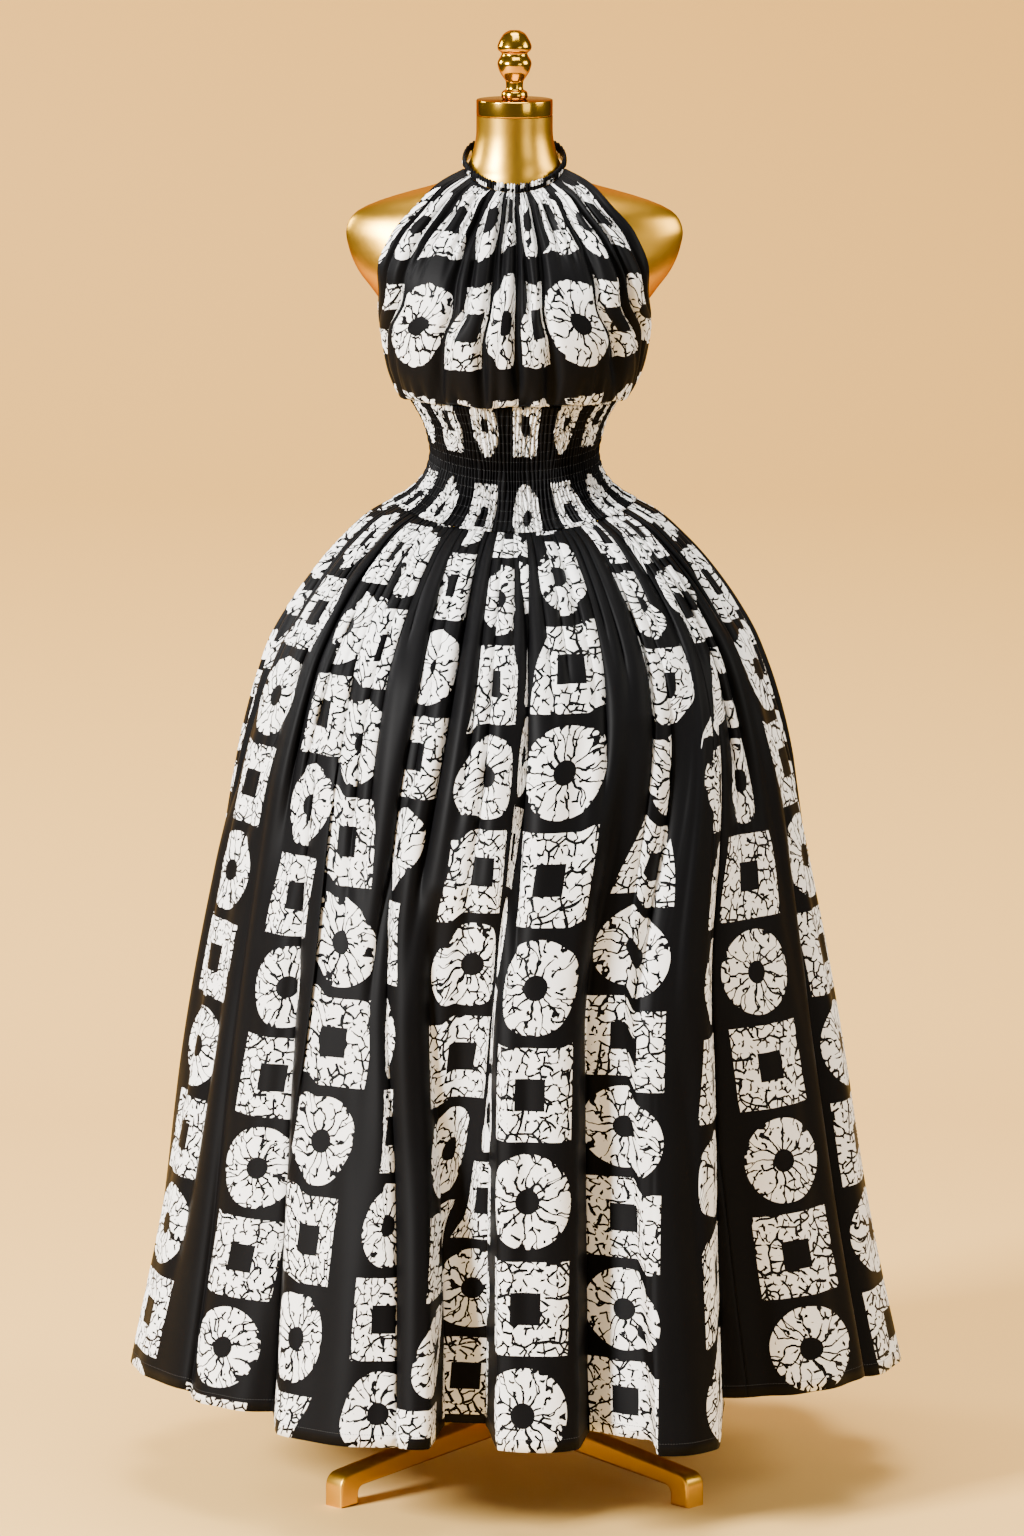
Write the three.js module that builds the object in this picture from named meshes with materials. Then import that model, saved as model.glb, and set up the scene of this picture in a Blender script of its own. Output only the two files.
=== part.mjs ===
// Halter maxi dress on a metal dress form with a four-legged stand.
// Millimetres, +Z up. The front faces -Y and the wearer's left is +X.
// The origin is on the floor, under the pole of the stand.
import * as THREE from "three";

// ---- driving sizes -------------------------------------------------------
const SEAM_GAP = 0.3; // clearance between two pieces that are sewn or seated together
const CLOTH = 1.5; // thickness of every cloth wall
const FLOOR = 0;

const BAND_TOP = 1265; // height of the seam between bodice and waistband
const BAND_BOTTOM_SIDE = 1147; // height of the waist seam at the hips
const BAND_DIP_FRONT = 25; // how far that seam dips at the centre front
const BAND_DIP_BACK = 8;
const HEM = 138; // height of the hem between its lower folds

const COLUMNS_ROUND = 24; // printed columns round the hem, a quarter of them on each width
const SKIRT_GATHERS = 60;
const BAND_PLEATS = 84;
const BODICE_GATHERS = 32;
const NECK_GATHERS = 24;

const POLE_RADIUS = 14;
const HUB_RADIUS = 18;
const LEG_REACH = 282; // from the pole to the middle of a foot
const LEG_WIDTH = 28;
const TORSO_BOTTOM = 800;
const NECK_TOP = 1590;
const CAP_RADIUS = 44;
const CAP_TOP = 1609;

// ---- finishes ------------------------------------------------------------
const printedCotton = new THREE.MeshStandardMaterial({ color: 0x8c8c8a, roughness: 0.75, metalness: 0 });
const blackCotton = new THREE.MeshStandardMaterial({ color: 0x17171a, roughness: 0.7, metalness: 0 });
const satinGold = new THREE.MeshStandardMaterial({ color: 0xc79a3a, roughness: 0.34, metalness: 1 });
const polishedBrass = new THREE.MeshStandardMaterial({ color: 0xd8a942, roughness: 0.14, metalness: 1 });

// ---- small mathematics ---------------------------------------------------
const DEG = Math.PI / 180;
const clamp = (x, low, high) => Math.min(Math.max(x, low), high);
const mix = (a, b, t) => a + (b - a) * t;

function smoothstep(low, high, x) {
  const t = clamp((x - low) / (high - low), 0, 1);
  return t * t * (3 - 2 * t);
}

// Reads one named column of a table at a place between its rows, on a smooth
// curve that never overshoots the rows.
function read(table, key, column, place) {
  const last = table.length - 1;
  const x = clamp(place, table[0][key], table[last][key]);
  let i = 0;
  while (i < last - 1 && x > table[i + 1][key]) i += 1;
  const width = (k) => table[k + 1][key] - table[k][key];
  const rise = (k) => (table[k + 1][column] - table[k][column]) / width(k);
  const slope = (k) => {
    if (k === 0) return rise(0);
    if (k === last) return rise(last - 1);
    const before = rise(k - 1);
    const after = rise(k);
    return before * after <= 0 ? 0 : (2 * before * after) / (before + after);
  };
  const h = width(i);
  const t = (x - table[i][key]) / h;
  const t2 = t * t;
  const t3 = t2 * t;
  return (2 * t3 - 3 * t2 + 1) * table[i][column] + (t3 - 2 * t2 + t) * h * slope(i)
    + (3 * t2 - 2 * t3) * table[i + 1][column] + (t3 - t2) * h * slope(i + 1);
}

// A fixed unevenness between -1 and 1 for gather number k.
const uneven = (k, seed) => Math.sin(k * 2.399 + seed) * 0.6 + Math.sin(k * 5.237 + seed * 1.7) * 0.4;

// A point of an oval ring: the angle runs from the centre front towards +X.
function oval(angle, side, front, back) {
  const c = Math.cos(angle);
  return new THREE.Vector3(side * Math.sin(angle), -(c > 0 ? front : back) * c, 0);
}

// ---- walls made from grids of points ---------------------------------------
// The outward direction at each point of a grid. Rows run upwards and columns
// run from the front towards +X; a closed grid's last column meets its first.
function outwards(grid, closed) {
  const rows = grid.length;
  const cols = grid[0].length;
  return grid.map((row, j) => row.map((p, i) => {
    const left = closed ? row[(i + cols - 1) % cols] : row[Math.max(i - 1, 0)];
    const right = closed ? row[(i + 1) % cols] : row[Math.min(i + 1, cols - 1)];
    const below = grid[Math.max(j - 1, 0)][i];
    const above = grid[Math.min(j + 1, rows - 1)][i];
    const along = right.clone().sub(left);
    const up = above.clone().sub(below);
    return along.cross(up).normalize();
  }));
}

// The plain side of a cloth wall. Its rims are level, so that a rim lies
// flat against the next piece's rim.
function innerGrid(outer, closed, thickness) {
  const normal = outwards(outer, closed);
  const last = outer.length - 1;
  return outer.map((row, j) => row.map((p, i) => {
    const n = normal[j][i].clone();
    if (j === 0 || j === last) n.setZ(0).normalize();
    return p.clone().addScaledVector(n, -thickness);
  }));
}

class Shell {
  constructor() {
    this.positions = [];
    this.faces = [];
  }

  addGrid(grid) {
    return grid.map((row) => row.map((p) => {
      this.positions.push(p.x, p.y, p.z);
      return this.positions.length / 3 - 1;
    }));
  }

  // Two triangles for the four corners, anticlockwise from outside.
  quad(a, b, c, d) {
    this.faces.push(a, b, c, a, c, d);
  }

  skin(index, closed, outward) {
    for (let j = 0; j + 1 < index.length; j += 1) {
      const cols = index[j].length;
      for (let i = 0; i < (closed ? cols : cols - 1); i += 1) {
        const k = (i + 1) % cols;
        const [a, b, c, d] = [index[j][i], index[j][k], index[j + 1][k], index[j + 1][i]];
        // Both skins split along the same diagonal, so that the wall never crosses itself.
        if (outward) this.quad(a, b, c, d);
        else this.faces.push(a, c, b, a, d, c);
      }
    }
  }

  geometry() {
    const geometry = new THREE.BufferGeometry();
    geometry.setAttribute("position", new THREE.Float32BufferAttribute(this.positions, 3));
    geometry.setIndex(this.faces);
    geometry.computeVertexNormals();
    return geometry;
  }
}

// Joins two rims of which the outer has `step` times as many points.
function closeRim(shell, outerRim, innerRim, closed, step, top) {
  const count = innerRim.length;
  const spans = closed ? count : count - 1;
  const face = (a, b, c) => (top ? shell.faces.push(a, b, c) : shell.faces.push(a, c, b));
  for (let i = 0; i < spans; i += 1) {
    const a = innerRim[i];
    const b = innerRim[(i + 1) % count];
    const half = Math.floor(step / 2);
    for (let s = 0; s < step; s += 1) {
      const o = outerRim[(i * step + s) % outerRim.length];
      const p = outerRim[(i * step + s + 1) % outerRim.length];
      face(o, p, s < half || step === 1 ? a : b);
      if (s === half - 1 || step === 1) face(p, b, a);
    }
  }
}

// A cloth wall between an outer and an inner grid. The inner grid may have a
// point for every second column and fewer rows.
function clothWall(name, material, outer, inner, closed, step = 1) {
  const shell = new Shell();
  const o = shell.addGrid(outer);
  const n = shell.addGrid(inner);
  shell.skin(o, closed, true);
  shell.skin(n, closed, false);
  closeRim(shell, o[0], n[0], closed, step, false);
  closeRim(shell, o.at(-1), n.at(-1), closed, step, true);
  if (!closed) {
    for (let j = 0; j + 1 < o.length; j += 1) {
      // Both ends split along the same diagonal, so that neighbours stay apart.
      shell.quad(o[j][0], o[j + 1][0], n[j + 1][0], n[j][0]);
      shell.quad(o[j].at(-1), n[j].at(-1), n[j + 1].at(-1), o[j + 1].at(-1));
    }
  }
  return piece(name, shell.geometry(), material);
}

function piece(name, geometry, material) {
  const mesh = new THREE.Mesh(geometry, material);
  mesh.name = name;
  return mesh;
}

// ---- skirt ---------------------------------------------------------------
// The bell that the skirt's ridges reach. down: 0 at the waist seam, 1 at the hem.
const BELL = [
  { down: 0.0, side: 140, front: 112, back: 104 },
  { down: 0.014, side: 166, front: 136, back: 128 },
  { down: 0.032, side: 188, front: 158, back: 150 },
  { down: 0.067, side: 222, front: 194, back: 186 },
  { down: 0.118, side: 259, front: 232, back: 224 },
  { down: 0.165, side: 284, front: 260, back: 252 },
  { down: 0.259, side: 314, front: 294, back: 288 },
  { down: 0.353, side: 334, front: 315, back: 310 },
  { down: 0.45, side: 352, front: 333, back: 328 },
  { down: 0.636, side: 387, front: 366, back: 362 },
  { down: 0.827, side: 420, front: 400, back: 396 },
  { down: 1.0, side: 456, front: 434, back: 430 },
];

// Where each printed column of the cloth hangs at the hem, in degrees from the
// centre front. At the waist the same columns are spread evenly.
const HANG = [
  { column: -5, hem: -72 }, { column: -4, hem: -48 }, { column: -3, hem: -32 },
  { column: -2, hem: -23 }, { column: -1, hem: -7 }, { column: 0, hem: 4 },
  { column: 1, hem: 16 }, { column: 2, hem: 26 }, { column: 3, hem: 50 },
  { column: 4, hem: 76 }, { column: 6, hem: 105 }, { column: 8, hem: 133 },
  { column: 10, hem: 160 }, { column: 12, hem: 187 }, { column: 14, hem: 216 },
  { column: 16, hem: 245 }, { column: 19, hem: 288 },
];
const FRONT_COLUMN_AT_WAIST = 12; // degrees from the centre front to column 0
const FALL_STARTS = 0.12; // between these the cloth swings from its place at the waist
const FALL_ENDS = 0.55; // to its place at the hem

// The main folds, a row for each: the gully at its left edge, then the face
// that runs to the next gully. Angles in degrees at the hem, depths in mm.
// inLeft and inRight set the face back from the bell, crown rounds it, drop
// lowers its hem, and from is how far down the fold begins.
const FOLDS = [
  { at: -57, gully: 14, half: 3.0, inLeft: 14, inRight: 46, crown: 5, drop: 8, from: 0.3 },
  { at: -35.5, gully: 34, half: 3.2, inLeft: 2, inRight: 2, crown: 12, drop: 21, from: 0.1 },
  { at: -19.6, gully: 26, half: 2.4, inLeft: 4, inRight: 6, crown: 9, drop: 20, from: 0.3 },
  { at: -10.5, gully: 14, half: 2.6, inLeft: 46, inRight: 52, crown: -4, drop: 8, from: 0.2 },
  { at: -2.8, gully: 10, half: 2.4, inLeft: 2, inRight: 2, crown: 12, drop: 20, from: 0.12 },
  { at: 9.9, gully: 12, half: 2.6, inLeft: 48, inRight: 44, crown: -5, drop: 12, from: 0.2 },
  { at: 20.2, gully: 8, half: 2.2, inLeft: 2, inRight: 0, crown: 9, drop: 31, from: 0.16 },
  { at: 32, gully: 30, half: 2.6, inLeft: 60, inRight: 2, crown: 3, drop: -8, from: 0.22 },
  { at: 69, gully: 20, half: 3.4, inLeft: 3, inRight: 1, crown: 8, drop: 2, from: 0.3 },
  { at: 93, gully: 26, half: 3.0, inLeft: 2, inRight: 6, crown: 9, drop: 4, from: 0.3 },
  { at: 111, gully: 12, half: 2.8, inLeft: 36, inRight: 32, crown: -4, drop: -2, from: 0.24 },
  { at: 123, gully: 10, half: 2.6, inLeft: 2, inRight: 2, crown: 11, drop: 12, from: 0.16 },
  { at: 140, gully: 32, half: 2.8, inLeft: 26, inRight: 8, crown: 6, drop: 2, from: 0.26 },
  { at: 157, gully: 22, half: 2.5, inLeft: 4, inRight: 4, crown: 9, drop: 16, from: 0.2 },
  { at: 168, gully: 10, half: 2.5, inLeft: 44, inRight: 42, crown: -4, drop: 6, from: 0.24 },
  { at: 179, gully: 10, half: 2.5, inLeft: 2, inRight: 4, crown: 12, drop: 20, from: 0.12 },
  { at: 194.5, gully: 24, half: 2.5, inLeft: 8, inRight: 3, crown: 9, drop: 15, from: 0.34 },
  { at: 206, gully: 12, half: 2.6, inLeft: 44, inRight: 42, crown: -4, drop: 5, from: 0.22 },
  { at: 216, gully: 10, half: 2.5, inLeft: 3, inRight: 1, crown: 9, drop: 17, from: 0.18 },
  { at: 228, gully: 30, half: 2.8, inLeft: 44, inRight: 5, crown: 5, drop: -3, from: 0.24 },
  { at: 248, gully: 22, half: 3.0, inLeft: 3, inRight: 2, crown: 9, drop: 3, from: 0.34 },
  { at: 268, gully: 20, half: 3.2, inLeft: 1, inRight: 9, crown: 6, drop: 0, from: 0.3 },
];
const PINCH = 0.07; // how far a fold's edge rolls over the gully beside it, in degrees for each mm
const STEEPEST = 11; // mm of depth for each degree beyond which the edge rolls no further

const waistSeam = (angle) => {
  const c = Math.cos(angle);
  return BAND_BOTTOM_SIDE - BAND_DIP_FRONT * Math.max(c, 0) ** 1.5 - BAND_DIP_BACK * Math.max(-c, 0) ** 1.5;
};

// Sums what every main fold does at one place of the hem.
function foldAt(degrees, down) {
  let inset = 0;
  let drop = 0;
  const grow = (fold) => clamp((down - fold.from) / (1 - fold.from), 0, 1) ** 0.85;
  FOLDS.forEach((fold, k) => {
    const next = FOLDS[(k + 1) % FOLDS.length];
    const width = (next.at - fold.at + 360) % 360;
    const offset = ((degrees - fold.at + 540) % 360) - 180;
    const gully = Math.exp(-((offset / (fold.half * 0.8)) ** 2));
    inset += fold.gully * gully * grow(fold);
    const enter = smoothstep(-fold.half, fold.half, offset);
    const place = (degrees - fold.at + 360 + next.half) % 360 - next.half;
    const leave = 1 - smoothstep(width - next.half, width + next.half, place);
    const share = offset < fold.half && offset > -fold.half ? enter : (place < width + next.half ? leave : 0);
    if (share <= 0) return;
    const t = clamp(place / width, 0, 1);
    const face = mix(fold.inLeft, fold.inRight, t) + fold.crown * (2 * t - 1) ** 2;
    inset += face * share * grow(fold);
    drop += fold.drop * share;
  });
  return { inset, drop };
}

const GATHER_FADE = 0.34; // how far down the fine gathers reach
const ROUND = 2 * SKIRT_GATHERS; // points round the skirt: a crest and a hollow for each gather

function skirtPoint(i, down) {
  const column = (i / ROUND) * COLUMNS_ROUND - 5;
  const wrapped = column > 19 ? column - COLUMNS_ROUND : column;
  const atHem = read(HANG, "column", "hem", wrapped);
  const atWaist = FRONT_COLUMN_AT_WAIST + (360 / COLUMNS_ROUND) * wrapped;
  const { inset, drop } = foldAt(atHem, down);
  const slope = foldAt(atHem + 0.5, down).inset - foldAt(atHem - 0.5, down).inset;
  const roll = PINCH * clamp(slope, -STEEPEST, STEEPEST);
  const fall = smoothstep(FALL_STARTS, FALL_ENDS, down);
  const angle = (mix(atWaist, atHem, fall) + roll) * DEG;
  const strength = 1 + 0.45 * uneven(Math.floor(i / 2), 1.3);
  const gather = mix(2.2, 6.5, smoothstep(0, 0.05, down)) * (1 - smoothstep(0.1, GATHER_FADE, down)) * strength;
  const crest = i % 2 === 0 ? 0 : -2 * gather;
  const p = oval(angle, 1, 1, 1);
  const bell = oval(angle, read(BELL, "down", "side", down), read(BELL, "down", "front", down),
    read(BELL, "down", "back", down));
  const outward = p.normalize();
  bell.addScaledVector(outward, crest - inset);
  bell.z = mix(waistSeam(angle) - SEAM_GAP / 2, HEM - drop, down);
  return bell;
}

const SKIRT_ROWS = [1.0, 0.85, 0.7, 0.56, 0.43, 0.32, 0.22, 0.14, 0.075, 0.035, 0.014, 0.0];

function skirt() {
  const whole = SKIRT_ROWS.map((down) => Array.from({ length: ROUND }, (_, i) => skirtPoint(i, down)));
  const inside = innerGrid(whole, true, CLOTH);
  // Seams between the widths, as point numbers round the skirt.
  const perColumn = ROUND / COLUMNS_ROUND;
  const seam = (column) => Math.round((column + 5) * perColumn);
  const widths = [
    { name: "skirt_front", from: seam(-3.5), to: seam(2.5) },
    { name: "skirt_left", from: seam(2.5), to: seam(8.5) },
    { name: "skirt_back", from: seam(8.5), to: seam(14.5) },
    { name: "skirt_right", from: seam(14.5), to: seam(20.5) },
  ];
  const slice = (grid, from, to) => grid.map((row) => {
    const cut = [];
    for (let i = from; i <= to; i += 1) cut.push(row[i % ROUND].clone());
    const nudge = (p, q) => p.clone().addScaledVector(q.clone().sub(p).normalize(), SEAM_GAP * 0.6);
    const first = nudge(cut[0], cut[1]);
    const last = nudge(cut.at(-1), cut.at(-2));
    cut[0] = first;
    cut[cut.length - 1] = last;
    return cut;
  });
  return widths.map(({ name, from, to }) => clothWall(name, printedCotton, slice(whole, from, to),
    slice(inside, from, to), false));
}

// ---- waistband -----------------------------------------------------------
// up: 0 at the waist seam, 1 at the bodice seam. Sizes are the crests' own.
const BAND = [
  { up: 0.0, side: 140, front: 112, back: 104 },
  { up: 0.05, side: 128, front: 103, back: 96 },
  { up: 0.18, side: 109, front: 92, back: 85 },
  { up: 0.32, side: 99.5, front: 84, back: 78 },
  { up: 0.475, side: 96.2, front: 80.2, back: 74.2 },
  { up: 0.62, side: 99.5, front: 83, back: 76 },
  { up: 0.77, side: 105, front: 88, back: 80 },
  { up: 0.915, side: 114, front: 95, back: 86 },
  { up: 1.0, side: 120, front: 100, back: 90 },
];
const PLEAT_DEPTH = 2.1;
const BAND_ROWS = [0, 0.1, 0.26, 0.475, 0.74, 1];

function bandPoint(angle, up, depth) {
  const p = oval(angle, read(BAND, "up", "side", up) - depth, read(BAND, "up", "front", up) - depth,
    read(BAND, "up", "back", up) - depth);
  p.z = mix(waistSeam(angle) + SEAM_GAP / 2, BAND_TOP, up);
  return p;
}

function waistband() {
  const points = 2 * BAND_PLEATS;
  const outer = BAND_ROWS.map((up) => Array.from({ length: points }, (_, i) => {
    const angle = (i / points) * 2 * Math.PI;
    return bandPoint(angle, up, i % 2 === 0 ? 0 : PLEAT_DEPTH);
  }));
  const inner = BAND_ROWS.map((up) => Array.from({ length: BAND_PLEATS }, (_, i) => (
    bandPoint((i / BAND_PLEATS) * 2 * Math.PI, up, PLEAT_DEPTH + CLOTH))));
  return clothWall("waistband", printedCotton, outer, inner, true, 2);
}

// ---- bodice --------------------------------------------------------------
// One gathered panel, bare at the back. Each row is a curve round the body:
// heights at the centre and at the armhole edge, half width and depth of its
// oval, and the angle at which the panel ends.
const BODICE = [
  { up: 0, centre: 1265, edge: 1265, side: 120, front: 100, reach: 112 },
  { up: 1, centre: 1271, edge: 1271, side: 129, front: 109, reach: 111 },
  { up: 2, centre: 1298, edge: 1299, side: 143, front: 121, reach: 106 },
  { up: 3, centre: 1340, edge: 1346, side: 152, front: 127, reach: 96 },
  { up: 4, centre: 1372, edge: 1387, side: 158, front: 124, reach: 76 },
  { up: 5, centre: 1405, edge: 1424, side: 166, front: 113, reach: 67 },
  { up: 6, centre: 1440, edge: 1459, side: 157, front: 97, reach: 61 },
  { up: 7, centre: 1472, edge: 1492, side: 129, front: 79.5, reach: 57 },
  { up: 8, centre: 1495, edge: 1518, side: 88, front: 66, reach: 66 },
  { up: 9, centre: 1506, edge: 1530, side: 60, front: 60, reach: 78 },
];
const BODICE_GATHER = [
  { up: 0, depth: 2.0 },
  { up: 1, depth: 3.6 },
  { up: 3, depth: 1.8 },
  { up: 5, depth: 1.8 },
  { up: 7, depth: 3.4 },
  { up: 9, depth: 2.0 },
];

function bodicePoint(i, up) {
  const t = (i / BODICE_GATHERS) - 1;
  const reach = read(BODICE, "up", "reach", up) * t;
  const angle = reach * DEG;
  const depth = read(BODICE_GATHER, "up", "depth", up) * (1 + 0.5 * uneven(Math.floor(i / 2), 4.1));
  const hollow = i % 2 === 0 ? 0 : depth;
  const front = read(BODICE, "up", "front", up) - hollow;
  const p = oval(angle, read(BODICE, "up", "side", up) - hollow, front, front * 0.9);
  const lift = Math.abs(t) ** 1.7;
  p.z = mix(read(BODICE, "up", "centre", up), read(BODICE, "up", "edge", up), lift) + SEAM_GAP;
  return p;
}

function bodice() {
  const rows = BODICE.map(({ up }) => up);
  const outer = rows.map((up) => Array.from({ length: 2 * BODICE_GATHERS + 1 }, (_, i) => bodicePoint(i, up)));
  const inner = innerGrid(outer, false, CLOTH);
  return clothWall("bodice_front", printedCotton, outer, inner, false);
}

// ---- neck casing ---------------------------------------------------------
// The elastic casing round the neck, higher at the back. Its lower edge lies
// on the bodice's upper edge.
const CASING_HEIGHT = 10;
const CASING_THICK = 2.6;
const CASING_BACK_RISE = 14;
const CASING_PUFF = 0.9; // how far every second point of its outer side stands out

function casingPoint(angle, out, height) {
  const p = oval(angle, 57.6 + out, 57.6 + out, 50 + out);
  const side = Math.abs(((angle / DEG + 540) % 360) - 180) / 78;
  const c = Math.cos(angle);
  const front = mix(BODICE.at(-1).centre, BODICE.at(-1).edge, Math.min(side, 1) ** 1.7);
  const back = CASING_BACK_RISE * smoothstep(0.2, -1, c);
  p.z = front + back + 2 * SEAM_GAP + height;
  return p;
}

function neckCasing() {
  const points = 2 * NECK_GATHERS;
  const section = [
    { out: -CASING_THICK / 2, height: CASING_HEIGHT * 0.85 },
    { out: -CASING_THICK / 2, height: CASING_HEIGHT * 0.12 },
    { out: 0, height: 0 },
    { out: CASING_THICK / 2, height: CASING_HEIGHT * 0.12 },
    { out: CASING_THICK / 2, height: CASING_HEIGHT * 0.85 },
    { out: 0, height: CASING_HEIGHT },
  ];
  const shell = new Shell();
  const ring = Array.from({ length: points }, (_, i) => {
    const angle = (i / points) * 2 * Math.PI;
    const puff = (out) => (out > 0 && i % 2 === 0 ? out + CASING_PUFF : out);
    return section.map(({ out, height }) => casingPoint(angle, puff(out), height));
  });
  const index = shell.addGrid(ring);
  for (let i = 0; i < points; i += 1) {
    const k = (i + 1) % points;
    for (let s = 0; s < section.length; s += 1) {
      const t = (s + 1) % section.length;
      shell.quad(index[i][s], index[k][s], index[k][t], index[i][t]);
    }
  }
  return piece("neck_casing", shell.geometry(), blackCotton);
}

// ---- dress form ----------------------------------------------------------
// slim narrows the section towards the shoulder tips.
const TORSO = [
  { z: 800, side: 112, front: 90, back: 88, slim: 0 },
  { z: 806, side: 124, front: 98, back: 98, slim: 0 },
  { z: 850, side: 140, front: 108, back: 112, slim: 0 },
  { z: 930, side: 152, front: 115, back: 122, slim: 0 },
  { z: 1010, side: 154, front: 114, back: 122, slim: 0 },
  { z: 1075, side: 143, front: 106, back: 112, slim: 0 },
  { z: 1120, side: 124, front: 95, back: 96, slim: 0 },
  { z: 1158, side: 104, front: 83, back: 80, slim: 0 },
  { z: 1190, side: 92.9, front: 75.8, back: 70.6, slim: 0 },
  { z: 1203, side: 92.1, front: 76.4, back: 70, slim: 0 },
  { z: 1240, side: 100, front: 84, back: 75.5, slim: 0 },
  { z: 1272, side: 112, front: 92, back: 80, slim: 0 },
  { z: 1305, side: 130, front: 107, back: 86, slim: 0 },
  { z: 1340, side: 141, front: 115, back: 91, slim: 0.02 },
  { z: 1366, side: 148, front: 109, back: 93, slim: 0.25 },
  { z: 1389, side: 163, front: 97, back: 92, slim: 0.5 },
  { z: 1412, side: 180, front: 87, back: 88, slim: 0.45 },
  { z: 1435, side: 190, front: 77, back: 81, slim: 0.45 },
  { z: 1456, side: 194, front: 68, back: 74, slim: 0.45 },
  { z: 1470, side: 190, front: 63, back: 68, slim: 0.45 },
  { z: 1481, side: 180, front: 60, back: 63, slim: 0.5 },
  { z: 1493, side: 154, front: 57.5, back: 58, slim: 0.7 },
  { z: 1504, side: 118, front: 55.2, back: 54, slim: 1.0 },
  { z: 1514, side: 82, front: 52.8, back: 51.5, slim: 1.15 },
  { z: 1523, side: 64, front: 50.6, back: 49.6, slim: 0.7 },
  { z: 1533, side: 54.5, front: 48.8, back: 48.2, slim: 0.12 },
  { z: 1550, side: 47.5, front: 45.5, back: 46.5, slim: 0 },
  { z: 1573, side: 44, front: 44, back: 44, slim: 0 },
  { z: NECK_TOP, side: 44, front: 44, back: 44, slim: 0 },
];
const TORSO_ROUND = 32;

function torso() {
  const shell = new Shell();
  const rings = shell.addGrid(TORSO.map((row) => Array.from({ length: TORSO_ROUND }, (_, i) => {
    const angle = (i / TORSO_ROUND) * 2 * Math.PI;
    const p = oval(angle, row.side, row.front, row.back);
    p.y *= Math.abs(Math.cos(angle)) ** row.slim;
    p.z = row.z;
    return p;
  })));
  shell.skin(rings, true, true);
  const middle = shell.addGrid([[new THREE.Vector3(0, 0, TORSO_BOTTOM), new THREE.Vector3(0, 0, NECK_TOP)]])[0];
  for (let i = 0; i < TORSO_ROUND; i += 1) {
    const k = (i + 1) % TORSO_ROUND;
    shell.faces.push(rings[0][k], rings[0][i], middle[0]);
    shell.faces.push(rings.at(-1)[i], rings.at(-1)[k], middle[1]);
  }
  return piece("form_torso", shell.geometry(), satinGold);
}

// A turned part from radii and heights, closed on the axis at both ends.
function turned(name, material, profile, segments) {
  const points = [[0, profile[0][1]], ...profile, [0, profile.at(-1)[1]]];
  const outline = points.map(([radius, height]) => new THREE.Vector2(radius, height));
  const geometry = new THREE.LatheGeometry(outline, segments);
  geometry.rotateX(Math.PI / 2);
  return piece(name, geometry, material);
}

function neckCap() {
  const bottom = NECK_TOP + SEAM_GAP;
  return turned("neck_cap", polishedBrass, [
    [CAP_RADIUS - 1, bottom],
    [CAP_RADIUS, bottom + 1],
    [CAP_RADIUS, CAP_TOP - 1.5],
    [CAP_RADIUS - 1.5, CAP_TOP],
  ], 32);
}

function finial() {
  const base = CAP_TOP + SEAM_GAP;
  return turned("finial", polishedBrass, [
    [13.5, base], [14.8, base + 2], [15.2, base + 5], [14, base + 8.5], [10.4, base + 11],
    [9.8, base + 16], [10.6, base + 21], [14, base + 26], [17, base + 31], [19, base + 37],
    [19.6, base + 41], [18.4, base + 45], [15.4, base + 50], [15.2, base + 53], [18.6, base + 56],
    [19.7, base + 60], [18.6, base + 64], [16.2, base + 69], [12, base + 75], [6, base + 78.6],
  ], 18);
}

// ---- stand ---------------------------------------------------------------
const HUB_BOTTOM = 28;
const HUB_TOP = 74;
const LEG_TOP_AT_HUB = 71;
const LEG_TOP_AT_FOOT = 38;
const LEG_DEEP_AT_HUB = 27;
const LEG_DEEP_AT_FOOT = 17;
const FOOT_LENGTH = 28;
const LEG_EDGE = 2;

function pole() {
  return turned("pole", satinGold, [
    [POLE_RADIUS, HUB_TOP + SEAM_GAP],
    [POLE_RADIUS, TORSO_BOTTOM - SEAM_GAP],
  ], 24);
}

function hub() {
  return turned("hub", satinGold, [
    [HUB_RADIUS - 3, HUB_BOTTOM],
    [HUB_RADIUS, HUB_BOTTOM + 3],
    [HUB_RADIUS, HUB_TOP - 2],
    [HUB_RADIUS - 2, HUB_TOP],
  ], 28);
}

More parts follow.
